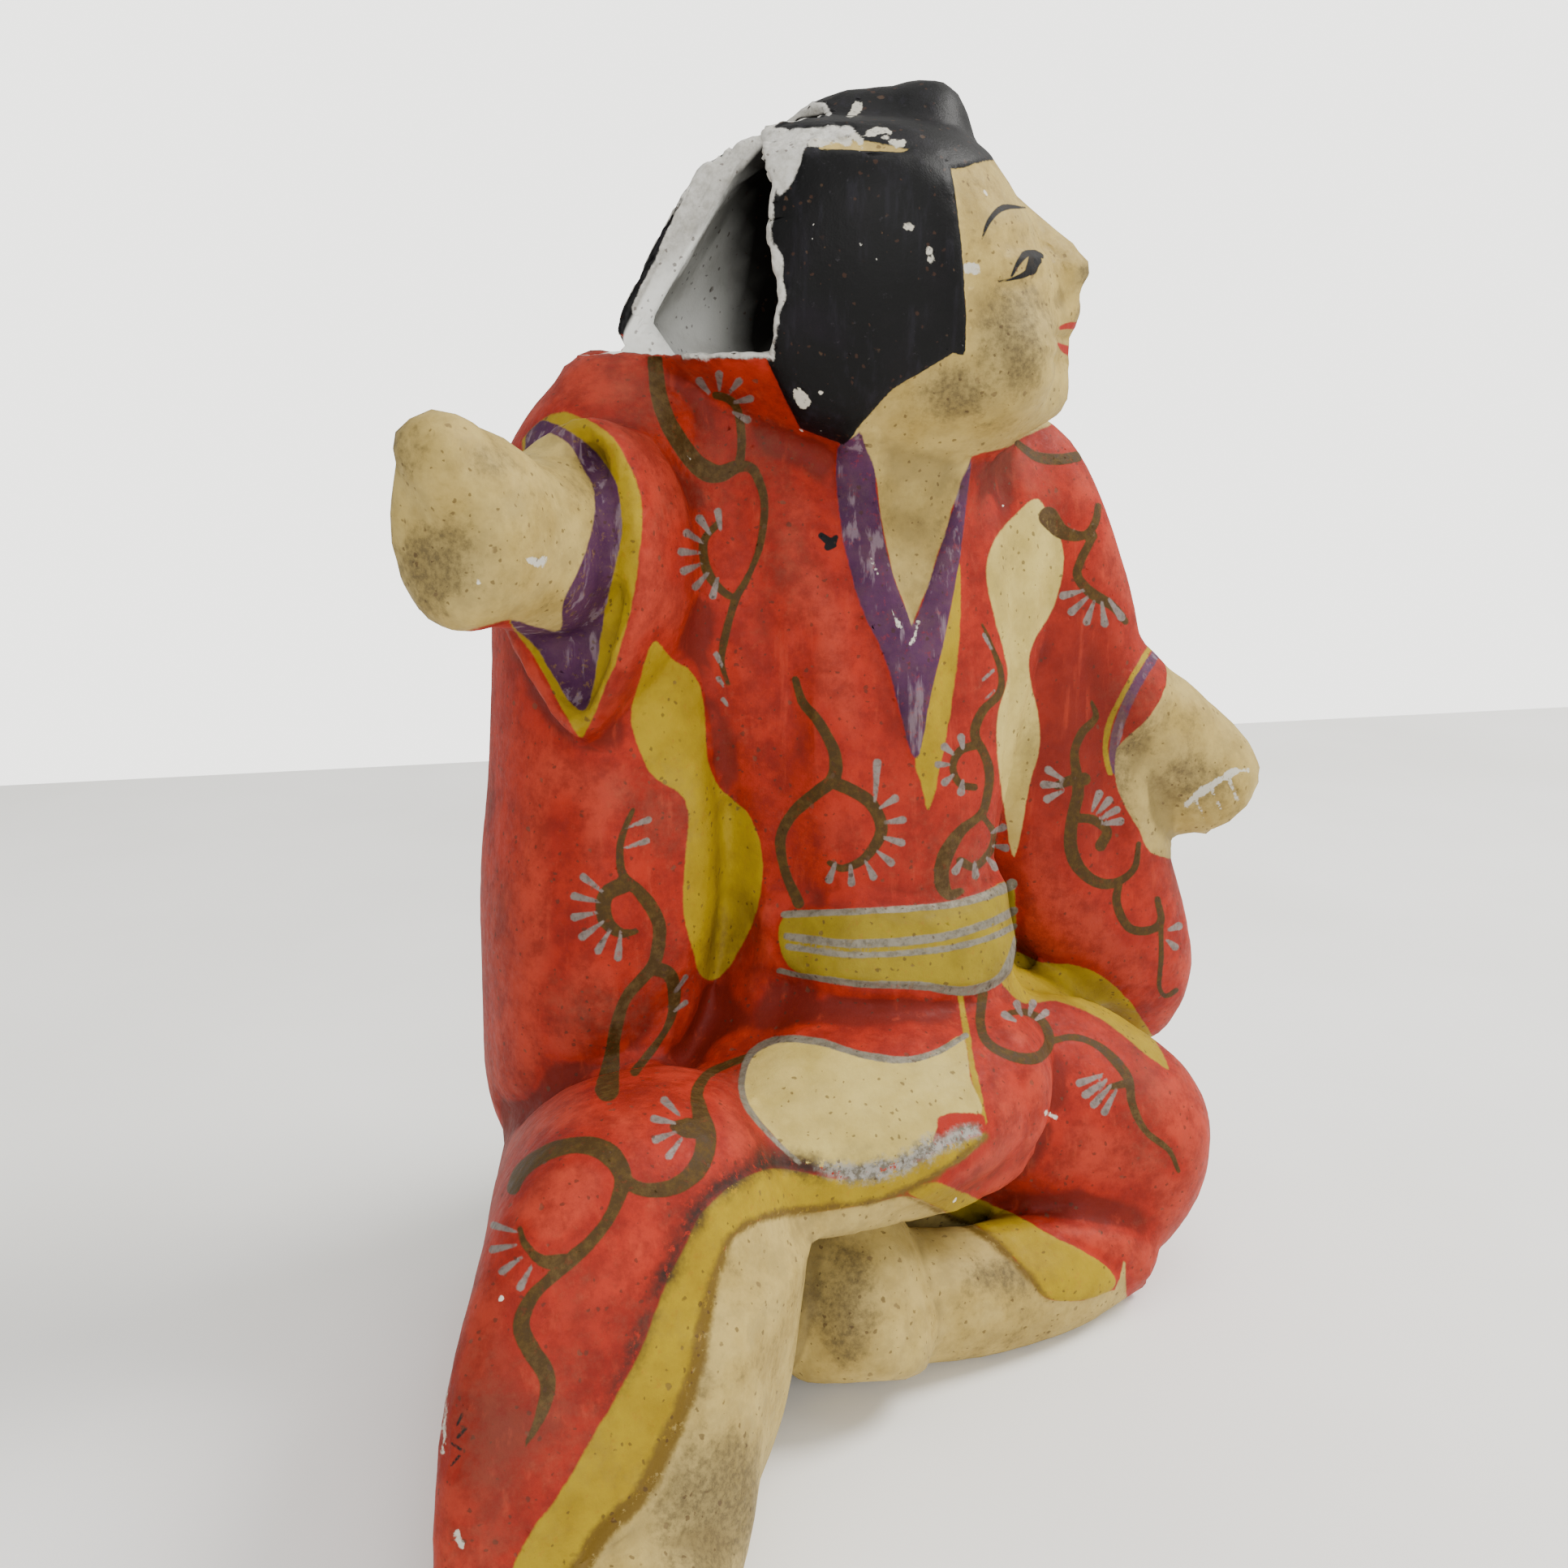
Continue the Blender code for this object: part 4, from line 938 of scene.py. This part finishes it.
    coats = [("yellow", yellow, cover("yellow", 0.5, 0.2, 0.12)),
             ("purple", purple, cover("purple", 0.5, 0.2, 0.30)),
             ("skin", skin, cover("skin", 0.4, 0.2)),
             ("shade", tone("604A16"), cover("shade", 1.2, 0.6, 0.6)),
             ("cream", cream, cover("cream", 0.35, 0.2)),
             ("tongue", tone("8E1E10"), cover("tongue", 0.6, 0.2, 0.4)),
             # Dark painted shade along the top of the lining, under the lap's hem.
             ("under_hem_shade", tone("2C1A14"), cover("under_hem_shade", 2.6, 1.9, 0.95)),
             ("scroll", scroll, cover("scroll", 0.25, 0.16, 0.16)),
             ("petal", petal, cover("petal", 0.3, 0.15, 0.35)),
             ("silver", silver, cover("silver", 0.3, 0.16, 0.25)),
             ("brushed_silver", mottled("8A867E", "5C564A", fine, 0.42, 0.6),
              cover("brushed_silver", 2.6, 1.0, 1.0)),
             ("lips", tone("8E2218"), cover("lips", 0.2, 0.15)),
             ("hair", hair, cover("hair", 0.5, 0.14)),
             ("ink", tone("0A0A0C"), cover("ink", 0.12, 0.12)),
             ("back", bare, cover("back", 2.6, 0.3)),
             ("chip", tone("B8B4A6"), cover("chip", 1.5, 0.15, 0.55)),
             ("torn", clay, cover("torn", 0.9, 0.2)),
             ("inside", inner, limited(tree, depth("inside"), 0.45, 0.75))]
    colour = red
    masks = {}
    for name, coat, mask in coats:
        colour = blend(tree, mask, colour, coat)
        masks[name] = mask

    pits = dots(330.0, 0.16, 0.28)
    colour = laid(pits, 0.55, colour, "4E3A2A")
    colour = laid(dots(760.0, 0.27, 0.32), 0.6, colour, "3A2418")
    colour = laid(dots(140.0, 0.07, 0.08), 0.8, colour, "D8D2C4")
    dust = limited(tree, sums(tree, "ADD", wide, sums(tree, "MULTIPLY", fine, 0.5)), 0.78, 1.0)
    dust = sums(tree, "MULTIPLY", dust, sums(tree, "SUBTRACT", 1.0, masks["hair"]))
    colour = laid(dust, 0.16, colour, "6E5C48")
    nicks = sums(tree, "MULTIPLY", dots(420.0, 0.10, 0.10), masks["hair"])
    colour = blend(tree, nicks, colour, tone("A8A69E"))

    metal = sums(tree, "MULTIPLY", sums(tree, "MAXIMUM", masks["silver"], masks["petal"]), 0.35)
    rough = limited(tree, fine, 0.2, 0.8, 0.5, 0.74)
    rough = blend(tree, masks["hair"], rough, (0.5, 0.5, 0.5, 1))
    rough = blend(tree, sums(tree, "MAXIMUM", masks["torn"], masks["inside"]), rough,
                  (0.92, 0.92, 0.92, 1))
    rough = blend(tree, masks["back"], rough, (0.85, 0.85, 0.85, 1))

    height = sums(tree, "MULTIPLY", patch, 0.35)
    raised = [(fine, 0.16), (grain, 0.07), (streak, 0.12), (pits, -0.10)]
    for name, lift in (("scroll", 0.06), ("petal", 0.06), ("silver", 0.07), ("hair", 0.05),
                       ("cream", 0.03), ("yellow", 0.03)):
        raised.append((limited(tree, depth(name), -0.2, 0.2), lift))
    for layer, lift in raised:
        height = sums(tree, "ADD", height, sums(tree, "MULTIPLY", layer, lift))
    torn_grain = sums(tree, "MULTIPLY", masks["torn"], sums(tree, "MULTIPLY", fine, 0.8))
    height = sums(tree, "ADD", height, torn_grain)
    bump = put(tree, "Bump", None, {"Strength": 0.55, "Distance": 0.9 * MM,
                                    "Height": height}).outputs[0]

    shader = put(tree, "BsdfPrincipled", None, {
        "Base Color": colour, "Roughness": rough, "Metallic": metal, "Normal": bump,
        "Specular IOR Level": 0.15})
    out = put(tree, "OutputMaterial", None, {"Surface": shader.outputs[0]})
    out.is_active_output = True
    return material


def floor_sheet():
    """A broad pale floor, faintly uneven, which ends at a straight line behind the doll."""
    mesh = bmesh.new()
    corners = [(-FLOOR_REACH, -FLOOR_REACH), (FLOOR_REACH, -FLOOR_REACH),
               (FLOOR_REACH, FLOOR_END - FLOOR_SLANT * FLOOR_REACH),
               (-FLOOR_REACH, FLOOR_END + FLOOR_SLANT * FLOOR_REACH)]
    mesh.faces.new([mesh.verts.new((x, y, 0)) for x, y in corners])
    data = bpy.data.meshes.new("floor")
    mesh.to_mesh(data)
    mesh.free()
    floor = bpy.data.objects.new("floor", data)
    bpy.context.collection.objects.link(floor)
    material = bpy.data.materials.new("pale_floor")
    material.use_nodes = True
    tree = material.node_tree
    where = put(tree, "TexCoord").outputs["Object"]
    shader = tree.nodes["Principled BSDF"]
    tint = blend(tree, limited(tree, cloud(tree, where, 5.0, 4.0), 0.35, 0.7),
                 tone("F9F8F5"), tone("F1F0EC"))
    tree.links.new(tint, shader.inputs["Base Color"])
    shader.inputs["Roughness"].default_value = 0.7
    data.materials.append(material)
    return floor


def soft_light(name, place, target, size, power, colour):
    data = bpy.data.lights.new(name, "AREA")
    data.shape = "DISK"
    data.size = size
    data.energy = power
    data.color = colour
    light = bpy.data.objects.new(name, data)
    light.location = place
    light.rotation_euler = (Vector(target) - Vector(place)).to_track_quat("-Z", "Y").to_euler()
    bpy.context.collection.objects.link(light)


def stand_camera():
    data = bpy.data.cameras.new("picture")
    data.sensor_width = 36.0
    data.lens = 36.0 * LENS / PICTURE
    data.clip_start = 0.01
    camera = bpy.data.objects.new("picture", data)
    turned = Matrix(np.column_stack((SIDEWAYS, UPWARDS, -AHEAD)).tolist()).to_4x4()
    camera.matrix_world = Matrix.Translation(Vector(EYE * MM)) @ turned
    bpy.context.collection.objects.link(camera)
    bpy.context.scene.camera = camera


skin = clay_skin(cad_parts["doll"])
clay_coat = painted_clay(brush_edge_group(), fleck_group())
skin.data.materials.append(clay_coat)
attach(skin, "root")
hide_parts("doll")
floor_sheet()
soft_light("window", (0.95, -0.15, 1.1), (0, 0, 0.12), 0.6, 24.0, (1.0, 0.985, 0.955))
soft_light("front", (-0.25, -1.6, 0.75), (0, 0, 0.12), 1.0, 17.0, (1.0, 0.995, 0.98))
soft_light("above", (0.0, -0.2, 1.5), (0, 0, 0.1), 1.0, 6.0, (1.0, 1.0, 1.0))
world = bpy.data.worlds.new("pale_room")
world.use_nodes = True
backdrop = world.node_tree.nodes["Background"]
backdrop.inputs[0].default_value = tone("F4F3EF")
shown = put(world.node_tree, "LightPath").outputs["Is Camera Ray"]
world.node_tree.links.new(limited(world.node_tree, shown, 0.0, 1.0, ROOM_LIGHT, ROOM_SHOWN),
                          backdrop.inputs[1])
bpy.context.scene.world = world
stand_camera()
